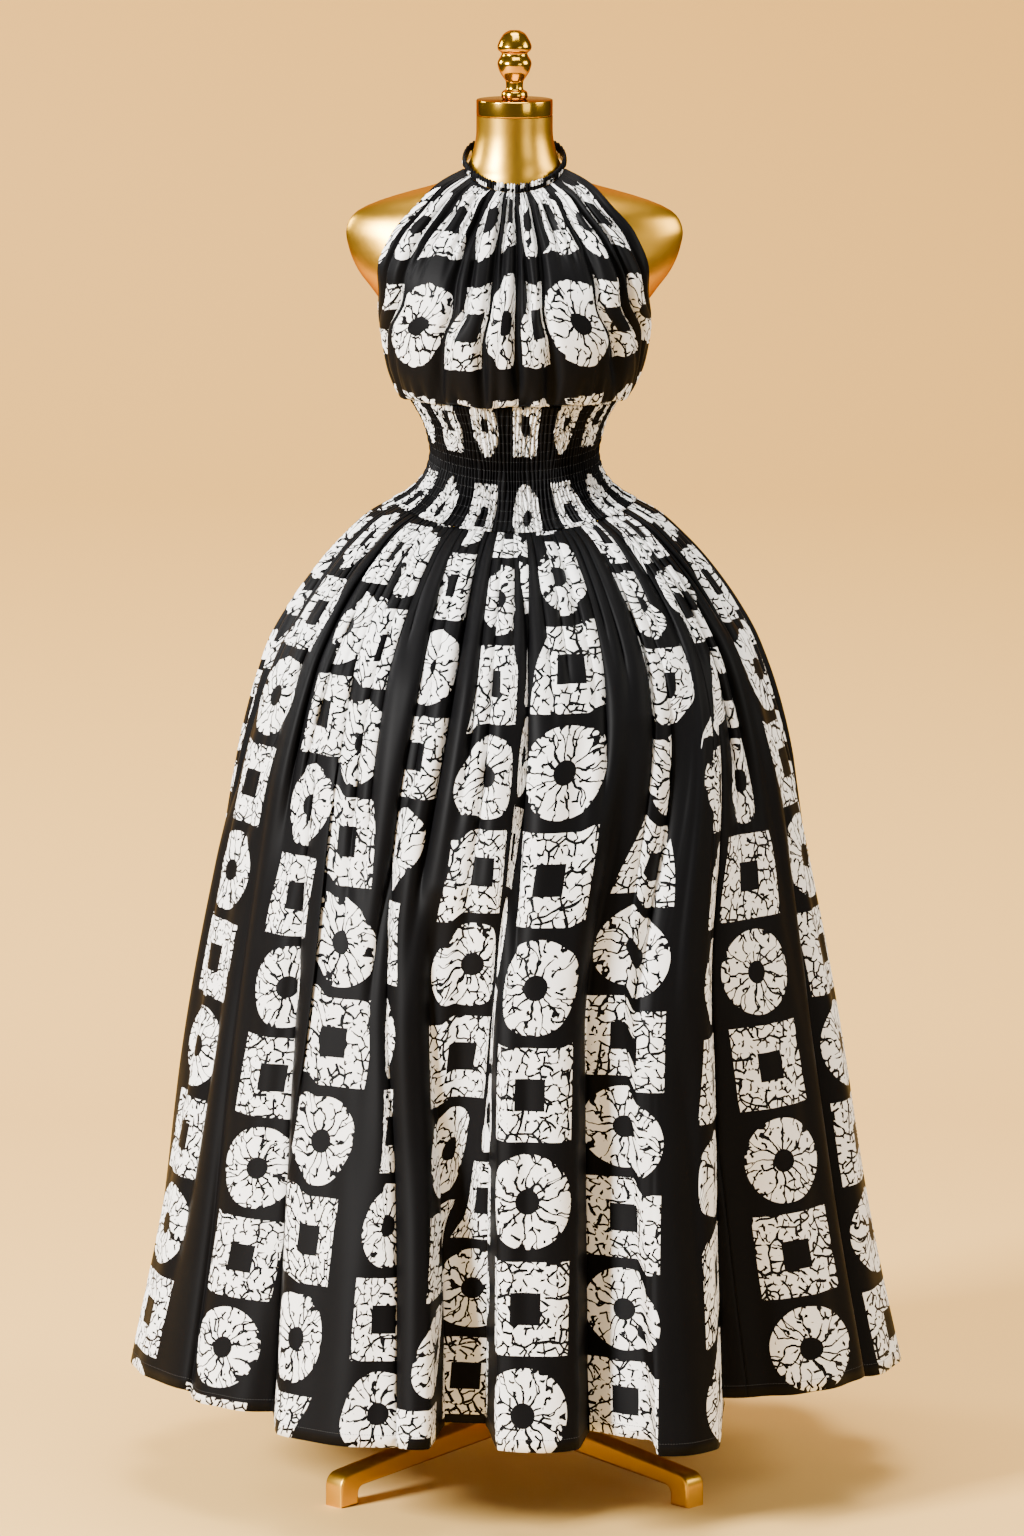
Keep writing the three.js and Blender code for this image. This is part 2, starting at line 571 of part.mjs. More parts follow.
function leg(name, heading) {
  const start = HUB_RADIUS + SEAM_GAP + LEG_EDGE;
  const toe = LEG_REACH + FOOT_LENGTH / 2 - LEG_EDGE;
  const heel = LEG_REACH - FOOT_LENGTH / 2 + LEG_EDGE;
  const bend = 15;
  const side = new THREE.Shape();
  side.moveTo(start, LEG_TOP_AT_HUB - LEG_EDGE);
  side.lineTo(start, LEG_TOP_AT_HUB - LEG_DEEP_AT_HUB + LEG_EDGE);
  side.lineTo(heel - 6, LEG_TOP_AT_FOOT - LEG_DEEP_AT_FOOT + LEG_EDGE);
  side.quadraticCurveTo(heel, LEG_TOP_AT_FOOT - LEG_DEEP_AT_FOOT, heel, LEG_TOP_AT_FOOT - LEG_DEEP_AT_FOOT - 6);
  side.lineTo(heel, FLOOR + LEG_EDGE);
  side.lineTo(toe, FLOOR + LEG_EDGE);
  side.lineTo(toe, LEG_TOP_AT_FOOT - bend - LEG_EDGE);
  side.quadraticCurveTo(toe, LEG_TOP_AT_FOOT - LEG_EDGE, toe - bend, LEG_TOP_AT_FOOT + 1 - LEG_EDGE);
  side.closePath();
  const bar = new THREE.ExtrudeGeometry(side, {
    depth: LEG_WIDTH - 2 * LEG_EDGE,
    curveSegments: 5,
    bevelEnabled: true,
    bevelThickness: LEG_EDGE,
    bevelSize: LEG_EDGE,
    bevelSegments: 1,
  });
  bar.translate(0, 0, -(LEG_WIDTH / 2 - LEG_EDGE));
  bar.rotateX(Math.PI / 2);
  const mesh = piece(name, bar, satinGold);
  mesh.rotation.z = heading * DEG;
  return mesh;
}

// ---- assembly ------------------------------------------------------------
const group = new THREE.Group();
group.add(...skirt(), waistband(), bodice(), neckCasing());
group.add(torso(), neckCap(), finial(), pole(), hub());
const legs = new THREE.Group();
legs.add(leg("leg_front_left", -45), leg("leg_back_left", 45));
legs.add(leg("leg_back_right", 135), leg("leg_front_right", 225));
group.add(legs);

export default group;
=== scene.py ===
"""Halter maxi dress in a black and white wax print, on a gold dress form.

Sizes are in millimetres while a surface is worked out and become metres when
its mesh is made. The front faces -Y and the wearer's left is +X. The print is
laid out on a UV map named "print", in metres of flat cloth.
"""

import math
from collections import namedtuple

import bpy
import numpy as np
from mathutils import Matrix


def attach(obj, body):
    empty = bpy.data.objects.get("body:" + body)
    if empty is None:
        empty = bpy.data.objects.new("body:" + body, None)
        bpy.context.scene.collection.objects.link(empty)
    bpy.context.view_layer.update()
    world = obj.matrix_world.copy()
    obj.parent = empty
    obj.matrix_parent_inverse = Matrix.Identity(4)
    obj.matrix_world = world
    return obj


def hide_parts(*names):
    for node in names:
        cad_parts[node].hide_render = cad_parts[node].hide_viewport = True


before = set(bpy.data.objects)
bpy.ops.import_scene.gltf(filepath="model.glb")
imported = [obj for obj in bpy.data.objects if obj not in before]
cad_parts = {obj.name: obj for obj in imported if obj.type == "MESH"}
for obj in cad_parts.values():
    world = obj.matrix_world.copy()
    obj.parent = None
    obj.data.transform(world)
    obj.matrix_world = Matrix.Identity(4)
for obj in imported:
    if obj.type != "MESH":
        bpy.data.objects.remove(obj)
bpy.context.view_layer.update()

MM = 0.001
TAU = 2 * math.pi

# ---- sizes shared with the solids ----
SEAM_GAP = 0.3
BAND_TOP = 1265
BAND_BOTTOM_SIDE = 1147
BAND_DIP_FRONT = 25
BAND_DIP_BACK = 8
HEM = 138
COLUMNS_ROUND = 24  # printed columns round the skirt
CLOTH = 0.9  # thickness of the cloth as sewn
SHOWN_GAP = 0.02  # how far the edges of each width stay off its seams
SHOWN_SQUEEZE = 0.0008  # the share of the spare cloth that the faces of the folds take up

# ---- the print's repeat ----
PITCH_ACROSS = 165
PITCH_UP = 115
FIRST_ROW = 55  # from the hem to the middle of the first row of motifs
DISC_RADIUS = 51.5
DISC_HOLE = 14
SQUARE_HALF = 50.5
SQUARE_HOLE = 17.5
VEINS = 13  # veins round a disc
VEIN = 2.6  # width of a printed line


# ---- small mathematics ----
def mix(a, b, t):
    return a + (b - a) * t


def smoothstep(low, high, x):
    t = np.clip((x - low) / (high - low), 0, 1)
    return t * t * (3 - 2 * t)


def bell(offset, width):
    return np.exp(-((offset / width) ** 2))


def read(table, column, place):
    """One column of a table, on a smooth curve that never overshoots its rows."""
    x = np.asarray(table[next(iter(table))], float)
    y = np.asarray(table[column], float)
    place = np.clip(place, x[0], x[-1])
    i = np.clip(np.searchsorted(x, place, side="right") - 1, 0, len(x) - 2)
    h = np.diff(x)
    rise = np.diff(y) / h
    before, after = rise[:-1], rise[1:]
    both = np.where(before + after == 0, 1, before + after)
    inner = np.where(before * after > 0, 2 * before * after / both, 0)
    slope = np.concatenate([rise[:1], inner, rise[-1:]])
    t = (place - x[i]) / h[i]
    t2, t3 = t * t, t * t * t
    return ((2 * t3 - 3 * t2 + 1) * y[i] + (t3 - 2 * t2 + t) * h[i] * slope[i]
            + (3 * t2 - 2 * t3) * y[i + 1] + (t3 - t2) * h[i] * slope[i + 1])


def read_oval(table, place, out=0):
    """An oval's half-widths at a place: to the side, the front and the back."""
    return [read(table, name, place) + out for name in ("side", "front", "back")]


def ripple(across, up, waves, seed):
    """Soft unevenness between about -1 and 1, made of a few crossed waves."""
    rng = np.random.default_rng(seed)
    total = 0
    for _ in range(waves):
        phase = across * rng.uniform(0.5, 1.5) + up * rng.uniform(-1, 1) + rng.uniform(0, TAU)
        total = total + np.sin(phase)
    return total / math.sqrt(waves)


def degrees_past(degrees, at):
    """How far an angle lies past another, between -180 and 180."""
    return (degrees - at + 540) % 360 - 180


def oval(angle, side, front, back):
    """Points of an oval ring. The angle runs from the centre front towards +X."""
    c = np.cos(angle)
    return side * np.sin(angle), -np.where(c > 0, front, back) * c


# ---- meshes ----
def outwards(points, closed):
    """The outward direction at each point of a grid whose rows run upwards."""
    if closed:
        along = np.roll(points, -1, 1) - np.roll(points, 1, 1)
    else:
        along = np.gradient(points, axis=1)
    normal = np.cross(along, np.gradient(points, axis=0))
    return normal / np.maximum(np.linalg.norm(normal, axis=2, keepdims=True), 1e-9)


def new_object(name, data):
    piece = bpy.data.objects.new(name, data)
    bpy.context.scene.collection.objects.link(piece)
    return piece


def stand_for(piece, material, slot, *nodes):
    """Gives a piece its material, hides the solids that it stands for and hangs it from the root."""
    piece.data.materials.clear()
    piece.data.materials.append(material)
    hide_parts(*nodes)
    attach(piece, "root")


def cells(rows, cols):
    """The row and column numbers of a grid's cells."""
    return [numbers.ravel() for numbers in np.meshgrid(np.arange(rows), np.arange(cols), indexing="ij")]


def mesh_piece(name, points, faces, flat_faces=(), corner_uv=None):
    """A mesh object in metres from points in millimetres. flat_faces are shaded flat."""
    mesh = bpy.data.meshes.new(name)
    mesh.from_pydata((points * MM).tolist(), [], faces.tolist())
    smooth = np.ones(len(faces), bool)
    smooth[list(flat_faces)] = False
    mesh.polygons.foreach_set("use_smooth", smooth)
    if corner_uv is not None:
        layer = mesh.uv_layers.new(name="print")
        layer.data.foreach_set("uv", (corner_uv * MM).astype(np.float32).ravel())
    return new_object(name, mesh)


def ring_faces(points, uv, spans):
    """The faces of a grid whose last row joins its first, row by row.

    Also says which row each face is in, and where in the print its corners lie.
    """
    rows, cols = points.shape[:2]
    j, i = cells(rows, spans)
    corners = (j, i), (j, i + 1), (j + 1, i + 1), (j + 1, i)
    faces = np.stack([row % rows * cols + col % cols for row, col in corners], 1)
    return j, faces, np.stack([uv[np.minimum(row, rows - 1), col] for row, col in corners], 1)


def cloth_piece(name, outer, inner, uv, closed):
    """A thin sheet of cloth, whose rows run up its outside and down its inside."""
    ring, where = np.concatenate([outer, inner[::-1]]), np.concatenate([uv, uv[::-1]])
    high, cols = outer.shape[:2]
    row, faces, places = ring_faces(ring, where, cols if closed else cols - 1)
    inside = row >= high  # where the faces are split on the same diagonal as outside
    faces[inside], places[inside] = np.roll(faces[inside], 1, 1), np.roll(places[inside], 1, 1)
    cut_edge = row % high == high - 1
    if not closed:
        r = np.arange(high - 1)
        across = np.stack([r, r + 1, 2 * high - 2 - r, 2 * high - 1 - r], 1)
        for col, order in ((0, [0, 1, 2, 3]), (cols - 1, [0, 3, 2, 1])):
            faces = np.concatenate([faces, across[:, order] * cols + col])
            places = np.concatenate([places, where[across[:, order], col]])
        cut_edge = np.append(cut_edge, np.ones(2 * len(r), bool))
    return mesh_piece(name, ring.reshape(-1, 3), faces, np.flatnonzero(cut_edge), places.reshape(-1, 2))


def inner_face(outer, closed):
    """The cloth's plain side, with level rims that lie flat against the next piece."""
    normal = outwards(outer, closed)
    for rim in (0, -1):
        normal[rim, :, 2] = 0
        normal[rim] /= np.linalg.norm(normal[rim], axis=1, keepdims=True)
    return outer - normal * CLOTH


def steps_along(points, axis):
    """The distances between neighbouring points of a grid."""
    return np.linalg.norm(np.diff(points, axis=axis), axis=2)


def climb(points):
    """The length of cloth from the lowest row of a grid up to each point."""
    return np.concatenate([np.zeros((1, points.shape[1])), np.cumsum(steps_along(points, 0), 0)])


def lay_print(points, hides, places, fixed):
    """How many columns of the print lie to the left of each point of a grid.

    The cloth shows at its true width between folds, and what is left over goes
    into the places that hide it. places tell the grid's points apart in each
    row. fixed lists where some printed columns lie, for all rows or row by row.
    """
    path = steps_along(points, 1) / PITCH_ACROSS
    hidden = (hides[:, 1:] + hides[:, :-1]) / 2 + SHOWN_SQUEEZE
    length = np.concatenate([np.zeros((len(path), 1)), np.cumsum(path, 1)], 1)
    column = np.array([c for _, c in fixed], float)
    across = np.empty_like(length)
    for row, places in enumerate(np.broadcast_to(places, length.shape)):
        at = np.array([np.broadcast_to(place, len(length))[row] for place, _ in fixed])
        part = np.searchsorted(at, places)
        base = np.maximum(part - 1, 0)
        folded = np.append(0, np.cumsum(path[row] * hidden[row]))
        shown, tucked = np.interp(at, places, length[row]), np.interp(at, places, folded)
        spare = np.maximum((np.diff(column) - np.diff(shown)) / np.diff(tucked), -0.8)
        scale = np.diff(column) / (np.diff(shown) + spare * np.diff(tucked))
        # Beyond the outermost fixed columns the cloth lies flat.
        spare, scale = np.concatenate([[0], spare, [0]]), np.concatenate([[1], scale, [1]])
        run = length[row] - shown[base] + spare[part] * (folded - tucked[base])
        across[row] = column[base] + scale[part] * run
    return across


# ---- skirt ----
# The bell that the folds hang from, by the share of the way down to the hem.
BELL = {
    "down": [0, 0.014, 0.032, 0.067, 0.118, 0.165, 0.259, 0.353, 0.45, 0.636, 0.827, 1.0],
    "side": [140, 166, 188, 222, 259, 284, 314, 334, 352, 387, 420, 456],
    "front": [112, 136, 158, 194, 232, 260, 294, 315, 333, 366, 400, 434],
    "back": [104, 128, 150, 186, 224, 252, 288, 310, 328, 362, 396, 430],
}
# Where each printed column hangs at the hem, in degrees from the centre front.
HANG = {
    "column": [-5, -4, -3, -2, -1, 0, 1, 2, 3, 4, 6, 8, 10, 12, 14, 16, 19],
    "hem": [-72, -48, -32, -23, -7, 4, 16, 26, 50, 76, 105, 133, 160, 187, 216, 245, 288],
}
FRONT_COLUMN_AT_WAIST = 12  # degrees from the centre front to column 0
FALL_STARTS = 0.12  # from here the cloth leaves its even spread at the waist
FALL_ENDS = 0.55  # and from here it hangs as at the hem

# The main folds: a gully at the left edge of each, of a depth and a half-width,
# then its face, set back at its left and right edges and crowned between them.
# Each lowers the hem by its drop, and opens at its start on the way down. Angles
# are in degrees at the hem and depths in millimetres.
Fold = namedtuple("Fold", "at gully half in_left in_right crown drop start")
FOLDS = [Fold(*values) for values in (
    (-57, 14, 3.0, 14, 46, 5, 8, 0.3), (-37.0, 34, 1.5, 2, 2, 7, 21, 0.1),
    (-17.0, 26, 1.3, 4, 6, 6, 20, 0.26), (-12.2, 10, 1.5, 60, 62, -4, 8, 0.38),
    (-2.2, 10, 1.3, 2, 2, 8, 20, 0.12), (9.4, 12, 1.6, 54, 8, -3, 12, 0.2),
    (20.8, 2, 0.9, 0, 0, 5, 31, 0.3), (31.0, 30, 1.5, 60, 2, 3, -8, 0.18),
    (69, 20, 3.4, 3, 1, 8, 2, 0.3), (93, 26, 3.0, 2, 6, 9, 4, 0.3),
    (111, 12, 2.8, 36, 32, -4, -2, 0.24), (123, 10, 2.6, 2, 2, 11, 12, 0.16),
    (140, 32, 2.8, 26, 8, 6, 2, 0.26), (157, 22, 2.5, 4, 4, 9, 16, 0.2),
    (168, 10, 2.5, 44, 42, -4, 6, 0.24), (179, 10, 2.5, 2, 4, 12, 20, 0.12),
    (194.5, 24, 2.5, 8, 3, 9, 15, 0.34), (206, 12, 2.6, 44, 42, -4, 5, 0.22),
    (216, 10, 2.5, 3, 1, 9, 17, 0.18), (228, 30, 2.8, 44, 5, 5, -3, 0.24),
    (248, 22, 3.0, 3, 2, 9, 3, 0.34), (268, 20, 3.2, 1, 9, 6, 0, 0.3),
)]
LEAST_GULLY = 4  # a shallower one is only a crease, and hides no cloth
PINCH = 0.075  # degrees that a fold's edge rolls over its gully, for each mm a degree of its slope
STEEPEST = 17  # mm a degree, beyond which it rolls no further
FACING = 0.2, 0.65  # from the sides to the front and the back, as the cosine of the angle
STRAIGHT_BACK = 0.92  # how far the folds' sideways part is taken away there
FAN = 12  # degrees that the folds spread by towards the hips, where they hang upright

# Where the grain of the cloth runs down the faces of the folds: the printed
# column, and its place among the folds at the hem, half-way up and at the hips.
Grain = namedtuple("Grain", "column hem half hips")
GRAIN_HEIGHTS = [0.15, 0.5, 1.0]
GRAIN = [Grain(*values) for values in (
    (-5, -76, -72, -70), (-4, -50.5, -40.5, -36.3), (-3, -35.5, -27.1, -23.3),
    (-2, -20.4, -17.6, -14.9), (-1, -14, -6.2, -5.1), (0, -7.6, -2.4, -2.3),
    (1, 1.2, 2.7, 2.2), (2, 16.8, 16.4, 15.6), (4, 50, 44, 40), (5, 83, 79, 77),
)]
GRAIN_BEHIND = [102, 117, 131.5, 148.5, 162.5, 173.5, 187, 200, 211, 222, 238, 258]
SPARE_COLUMN = 1  # the folds at the front tuck away one more printed column

# How the rows of the print ride up each printed column, where the folds hang
# the cloth at a slant: a stretch, and a shift in millimetres.
RIDE = {
    "column": [-4, -3, -2, -1, 0, 1, 2, 3, 4, 5, 8, 9, 19, 20, 21, 22],
    "stretch": [1.0, 1.012, 1.08, 1.066, 1.12, 0.95, 1.11, 1.05,
                1.046, 1.02, 1.0, 1.0, 1.0, 1.088, 1.087, 1.0],
    "shift": [64, 56, 14, 59, 108, 131, 124, 118, 118, 120, 115, 0, 92, 93, 95, 95],
}

WIDTH_SEAMS = [-3.5, 2.5, 8.5, 14.5, 20.5]  # printed columns at the seams between the widths
WIDTH_NAMES = ["skirt_front", "skirt_left", "skirt_back", "skirt_right"]
WIDTH_COLUMNS = 296  # points across each width
SKIRT_ROWS = 150
RECESS_DEEPENED = 1.6  # the finer cloth falls further back between the ridges than the solids' does
WANDER = 0.9  # degrees that the folds stray from straight lines
LEANING_FOLDS = -24  # degrees at the hem
LEAN = 2  # degrees that those folds lean towards the middle, half-way down
SOFT_FOLDS = 46
SWELL = 2.88  # how far the faces of the folds swell out and in
FLUTTER = 2.2  # how uneven the cloth is from place to place
MAIN_FOLDS_HIDE = 1.4  # times as much cloth as a gather does

# The gathers under the waist seam, some of them long: how far down they reach,
# how deep they are, how much they widen and the share of cloth that they hide.
GATHERS = 108
LONG_SHARE = 0.4
Gather = namedtuple("Gather", "reach deep widens hides")
LONG_GATHER = Gather((0.3, 0.6), (18, 30), 0.2, 1.5)
SHORT_GATHER = Gather((0.12, 0.26), (11, 19), 0.26, 0.7)


def waist_seam(angle):
    """The height of the seam at the waist, which dips at the front and the back."""
    c = np.cos(angle)
    return (BAND_BOTTOM_SIDE - BAND_DIP_FRONT * np.maximum(c, 0) ** 1.5
            - BAND_DIP_BACK * np.maximum(-c, 0) ** 1.5)


def main_folds(degrees, down):
    """How far the main folds set the cloth back from the bell, and lower its hem."""
    inset, drop = 0, 0
    for fold, after in zip(FOLDS, FOLDS[1:] + FOLDS[:1]):
        width = (after.at - fold.at + 360) % 360
        offset = degrees_past(degrees, fold.at)
        place = (degrees - fold.at) % 360
        grow = np.clip((down - fold.start) / (1 - fold.start), 0, 1) ** 0.85
        entering = np.abs(offset) < fold.half
        share = np.where(entering, smoothstep(-fold.half, fold.half, offset),
                         np.where(place < width + after.half,
                                  1 - smoothstep(width - after.half, width + after.half, place), 0))
        t = np.clip(np.where(entering & (offset < 0), 0, place / width), 0, 1)
        face = mix(fold.in_left, fold.in_right, t) + fold.crown * (2 * t - 1) ** 2
        inset = inset + (fold.gully * bell(offset, fold.half * 0.8) + face * share) * grow
        drop = drop + fold.drop * share
    return inset, drop


def main_fold_lines(degrees, down):
    """Where the main folds hide cloth, from 0 to 1."""
    hidden = 0
    for fold in FOLDS:
        if fold.gully >= LEAST_GULLY:
            opened = smoothstep(fold.start - 0.02, fold.start + 0.2, down)
            hidden = hidden + bell(degrees_past(degrees, fold.at), 0.85) * opened
    return hidden


def waist_gathers(column, down):
    """Depth of the gathers under the waist seam, and where they hide cloth."""
    rng = np.random.default_rng(21)
    depth, hidden = 0, 0
    spacing = COLUMNS_ROUND / GATHERS
    for k in range(GATHERS):
        centre = (k + rng.uniform(-0.3, 0.3)) * spacing
        kind = LONG_GATHER if rng.random() < LONG_SHARE else SHORT_GATHER
        reach = rng.uniform(*kind.reach)
        deep = rng.uniform(*kind.deep)
        lean = rng.uniform(-0.7, 0.7)
        place = (column - centre - lean * down + COLUMNS_ROUND * 1.5) % COLUMNS_ROUND - COLUMNS_ROUND / 2
        wide = 0.05 + kind.widens * down
        fade = (1 - smoothstep(0.3 * reach, reach, down)) * mix(0.3, 1, smoothstep(0, 0.05, down))
        depth = depth + deep * bell(place, wide) * fade
        hidden = hidden + bell(place, wide * 0.3) * fade * kind.hides
    return depth, hidden


def soft_folds(degrees, down):
    """Shallow troughs that wander down the faces, each with its own length."""
    rng = np.random.default_rng(5)
    depth = 0
    for k in range(SOFT_FOLDS):
        centre = k * 360 / SOFT_FOLDS + rng.uniform(-3, 3)
        start, length = rng.uniform(0.1, 0.55), rng.uniform(0.3, 0.7)
        wide, deep, sway = rng.uniform(1.4, 3.2), rng.uniform(3, 8), rng.uniform(-5, 5)
        offset = degrees_past(degrees, centre + sway * (down - start))
        end = smoothstep(start + length - 0.2, start + length, down)
        depth = depth + deep * bell(offset, wide) * smoothstep(start, start + 0.16, down) * (1 - end)
    return depth


def skirt_samples():
    """Hem degrees and printed columns of the points round the skirt, closest in the gullies."""
    fine_column = np.linspace(WIDTH_SEAMS[0], WIDTH_SEAMS[-1], 20001)
    again = fine_column > HANG["column"][-1]
    fine_hem = read(HANG, "hem", fine_column - again * COLUMNS_ROUND) + again * 360
    dense = 1.0
    for fold in FOLDS:
        dense = dense + 2.4 * bell(degrees_past(fine_hem, fold.at), fold.half)
    weight = np.gradient(fine_hem) / 360 * dense + np.gradient(fine_column) / COLUMNS_ROUND * 1.1
    run = np.cumsum(weight)
    seam_places = [np.argmin(np.abs(fine_column - seam)) for seam in WIDTH_SEAMS]
    picks = [np.linspace(run[a], run[b], WIDTH_COLUMNS)[:-1] for a, b in zip(seam_places, seam_places[1:])]
    picks = np.concatenate(picks + [[run[seam_places[-1]]]])
    return np.interp(picks, run, fine_hem), np.interp(picks, run, fine_column)


def skirt_surface():
    """The outer face of the whole skirt, its hem first, and the print's place on it."""
    at_hem, column = skirt_samples()
    t = np.linspace(1, 0, SKIRT_ROWS)
    down = mix(t, t ** 2.3, 0.62)[:, None]
    at_waist = FRONT_COLUMN_AT_WAIST + 360 / COLUMNS_ROUND * column
    wander = WANDER * ripple(at_hem / 9, down * 7, 5, 3) * (1 - 0.85 * down)
    line = at_hem + wander - FAN * np.minimum(1 - down, 0.85) * np.sin(np.radians(2 * at_hem))
    line = line + LEAN * bell(at_hem - LEANING_FOLDS, 8) * bell(down - 0.4, 0.3)
    inset = main_folds(line, down)[0] * RECESS_DEEPENED
    drop = main_folds(at_hem, down)[1]
    gathered, gather_lines = waist_gathers(column, down)
    calm = smoothstep(0.02, 0.3, down)
    soft = soft_folds(at_hem, down) * mix(1, 0.65, smoothstep(0.7, 1, down))
    swell = SWELL * ripple(at_hem / 5, down * 9, 7, 8) * calm
    flutter = FLUTTER * ripple(at_hem / 2.1, down * 12, 7, 14) * calm
    set_back = inset + gathered + soft - swell + flutter

    slope = np.gradient(set_back, at_hem, axis=1)
    roll = PINCH * np.clip(slope, -STEEPEST, STEEPEST)
    fall = smoothstep(FALL_STARTS, FALL_ENDS, down)
    angle = np.radians(mix(at_waist, at_hem, fall) + roll)
    across_bell = read_oval(BELL, down)
    x, y = oval(angle, *across_bell)
    # At the front and the back the folds are set straight back, one behind the
    # other, and at the sides they are set in towards the middle.
    facing = smoothstep(*FACING, np.abs(np.cos(angle)))
    x = x - np.sin(angle) * set_back * (1 - STRAIGHT_BACK * facing)
    y = y + np.cos(angle) * set_back
    z = mix(waist_seam(angle) - SEAM_GAP / 2, HEM - drop, down)
    points = np.stack([x, y, z], 2)

    hidden = MAIN_FOLDS_HIDE * main_fold_lines(line, down) + gather_lines
    heights, round_again = down[:, 0], COLUMNS_ROUND + SPARE_COLUMN
    grain = [(np.interp(heights, GRAIN_HEIGHTS, [g.hips, g.half, g.hem]), g.column) for g in GRAIN]
    grain += [(behind, float(np.interp(behind, at_hem, column)) + SPARE_COLUMN) for behind in GRAIN_BEHIND]
    grain += [(places + 360, place + round_again) for places, place in grain[:2]]
    grain = sorted(grain[2:], key=lambda mark: mark[1])
    across = lay_print(points, hidden, line, grain)
    # The rows are spaced along the bell, which the folds don't lengthen.
    level = np.stack([*oval(np.radians(at_hem) + 0 * down, *across_bell), z], 2)
    return points, np.stack([across * PITCH_ACROSS, ride_up(across, climb(level))], 2)


def ride_up(across, up):
    """Slides the rows along each printed column, with the change between columns."""
    column = np.floor(across)
    part = smoothstep(0.34, 0.66, across - column)
    stretch, shift = [mix(np.interp(column, RIDE["column"], RIDE[name]),
                          np.interp(column + 1, RIDE["column"], RIDE[name]), part)
                      for name in ("stretch", "shift")]
    return up * stretch + shift


def build_skirt(material):
    """The four widths of the skirt, cut at their seams from one surface."""
    points, uv = skirt_surface()
    ring = points[:, :-1]
    inside = inner_face(ring, True)
    inside = np.concatenate([inside, inside[:, :1]], 1)
    for n, name in enumerate(WIDTH_NAMES):
        cut = slice(n * (WIDTH_COLUMNS - 1), (n + 1) * (WIDTH_COLUMNS - 1) + 1)
        outer, inner, where = points[:, cut].copy(), inside[:, cut].copy(), uv[:, cut].copy()
        for grid in (outer, inner):
            for edge, beside in ((0, 1), (-1, -2)):
                inward = grid[:, beside] - grid[:, edge]
                grid[:, edge] += inward / np.linalg.norm(inward, axis=1, keepdims=True) * SHOWN_GAP
        if name == "skirt_left":
            where[..., 0] += PITCH_ACROSS  # this width isn't matched to its neighbours
        piece = cloth_piece(name + "_cloth", outer, inner, where, False)
        stand_for(piece, material, "printed_cotton", name)
    return points


# ---- waistband ----
# The waistband's waisted form, by the share of the way up.
BAND = {
    "up": [0, 0.05, 0.18, 0.32, 0.475, 0.62, 0.77, 0.915, 1.0],
    "side": [140, 128, 109, 99.5, 96.2, 99.5, 105, 114, 120],
    "front": [112, 103, 92, 84, 80.2, 83, 88, 95, 100],
    "back": [104, 96, 85, 78, 74.2, 76, 80, 86, 90],
}
BAND_POINTS = 1036
BAND_ROWS = 48
BAND_PLEATS = 148
BAND_COLUMNS = 14  # printed columns round the band
BAND_CENTRE_COLUMN = 7.2  # degrees from the centre front to column 0, which holds a disc
# How the rows of the print lie up the band, from the waist seam.
BAND_ROWS_SHOWN = {"rise": [-20, 19, 59, 93, 131, 170], "print": [-50, 0, 51, 64, 115, 166]}
ELASTIC_ROWS = 13
ELASTIC_PULLS = 1.3  # how far it draws the cloth in between the puffs
PLEAT_OUT = 3.0  # how far a pleat stands out from the band's form, and in
PLEAT_IN = 2.2
PLEATED_CLOTH = 0.6  # thinner than elsewhere, so that its pleats stay apart


def build_waistband(material):
    """The shirred tube, pleated all round and puffed between its rows of elastic."""
    degrees = np.linspace(0, 360, BAND_POINTS, endpoint=False)[None, :]
    up = np.linspace(0, 1, BAND_ROWS)[:, None]
    angle = np.radians(degrees)
    wander = 0.9 * ripple(degrees / 6, up * 9, 6, 31) + 0.35 * ripple(degrees / 2, up * 26, 5, 32)
    # A whole number of waves round the band keeps the join closed.
    phase = degrees + wander * smoothstep(0, 4, degrees) * smoothstep(360, 356, degrees)
    beat = 0.5 * np.sin(np.radians(phase) * 9 + 1.0) + 0.5 * np.sin(np.radians(phase) * 23)
    pleat = 0.5 + 0.5 * np.cos(np.radians(phase) * BAND_PLEATS + 1.6 * beat)
    fine = 0.5 + 0.5 * np.cos(np.radians(phase) * BAND_PLEATS * 2 + 2.0 * beat + up * 5)
    shape = np.clip(0.78 * pleat ** 0.8 + 0.22 * fine, 0, 1)
    puff = np.abs(np.sin(up * math.pi * ELASTIC_ROWS)) ** 0.6
    deep = mix(0.7, 1.0, puff) * (1 + 0.25 * ripple(degrees / 3, up * 40, 5, 33))
    out = PLEAT_OUT - (PLEAT_OUT + PLEAT_IN) * (1 - shape) * deep - ELASTIC_PULLS * (1 - puff)
    out = np.clip(out, -PLEAT_IN, PLEAT_OUT + 0.6)
    x, y = oval(angle, *read_oval(BAND, up, out))
    z = mix(waist_seam(angle) + SEAM_GAP / 2, BAND_TOP, up) + 0 * x
    outer = np.stack([x, y, z], 2)
    inner = outer - outwards(outer, True) * PLEATED_CLOTH
    inner[..., 2] = outer[..., 2]

    # The print runs once round, from the seam to the seam again.
    rise = climb(outer)
    around, hides, rise = [np.concatenate([grid, grid[:, :1]], 1) for grid in (outer, (1 - shape) ** 2, rise)]
    shift = -BAND_CENTRE_COLUMN / 360 * BAND_COLUMNS
    marks = [(BAND_POINTS * n / BAND_COLUMNS, n + shift) for n in range(BAND_COLUMNS + 1)]
    across = lay_print(around, hides, np.arange(BAND_POINTS + 1), marks)
    rise = np.interp(rise, BAND_ROWS_SHOWN["rise"], BAND_ROWS_SHOWN["print"]) + FIRST_ROW
    uv = np.stack([across * PITCH_ACROSS, rise], 2)
    piece = cloth_piece("waistband_cloth", outer, inner, uv, True)
    stand_for(piece, material, "printed_cotton", "waistband")
    return outer


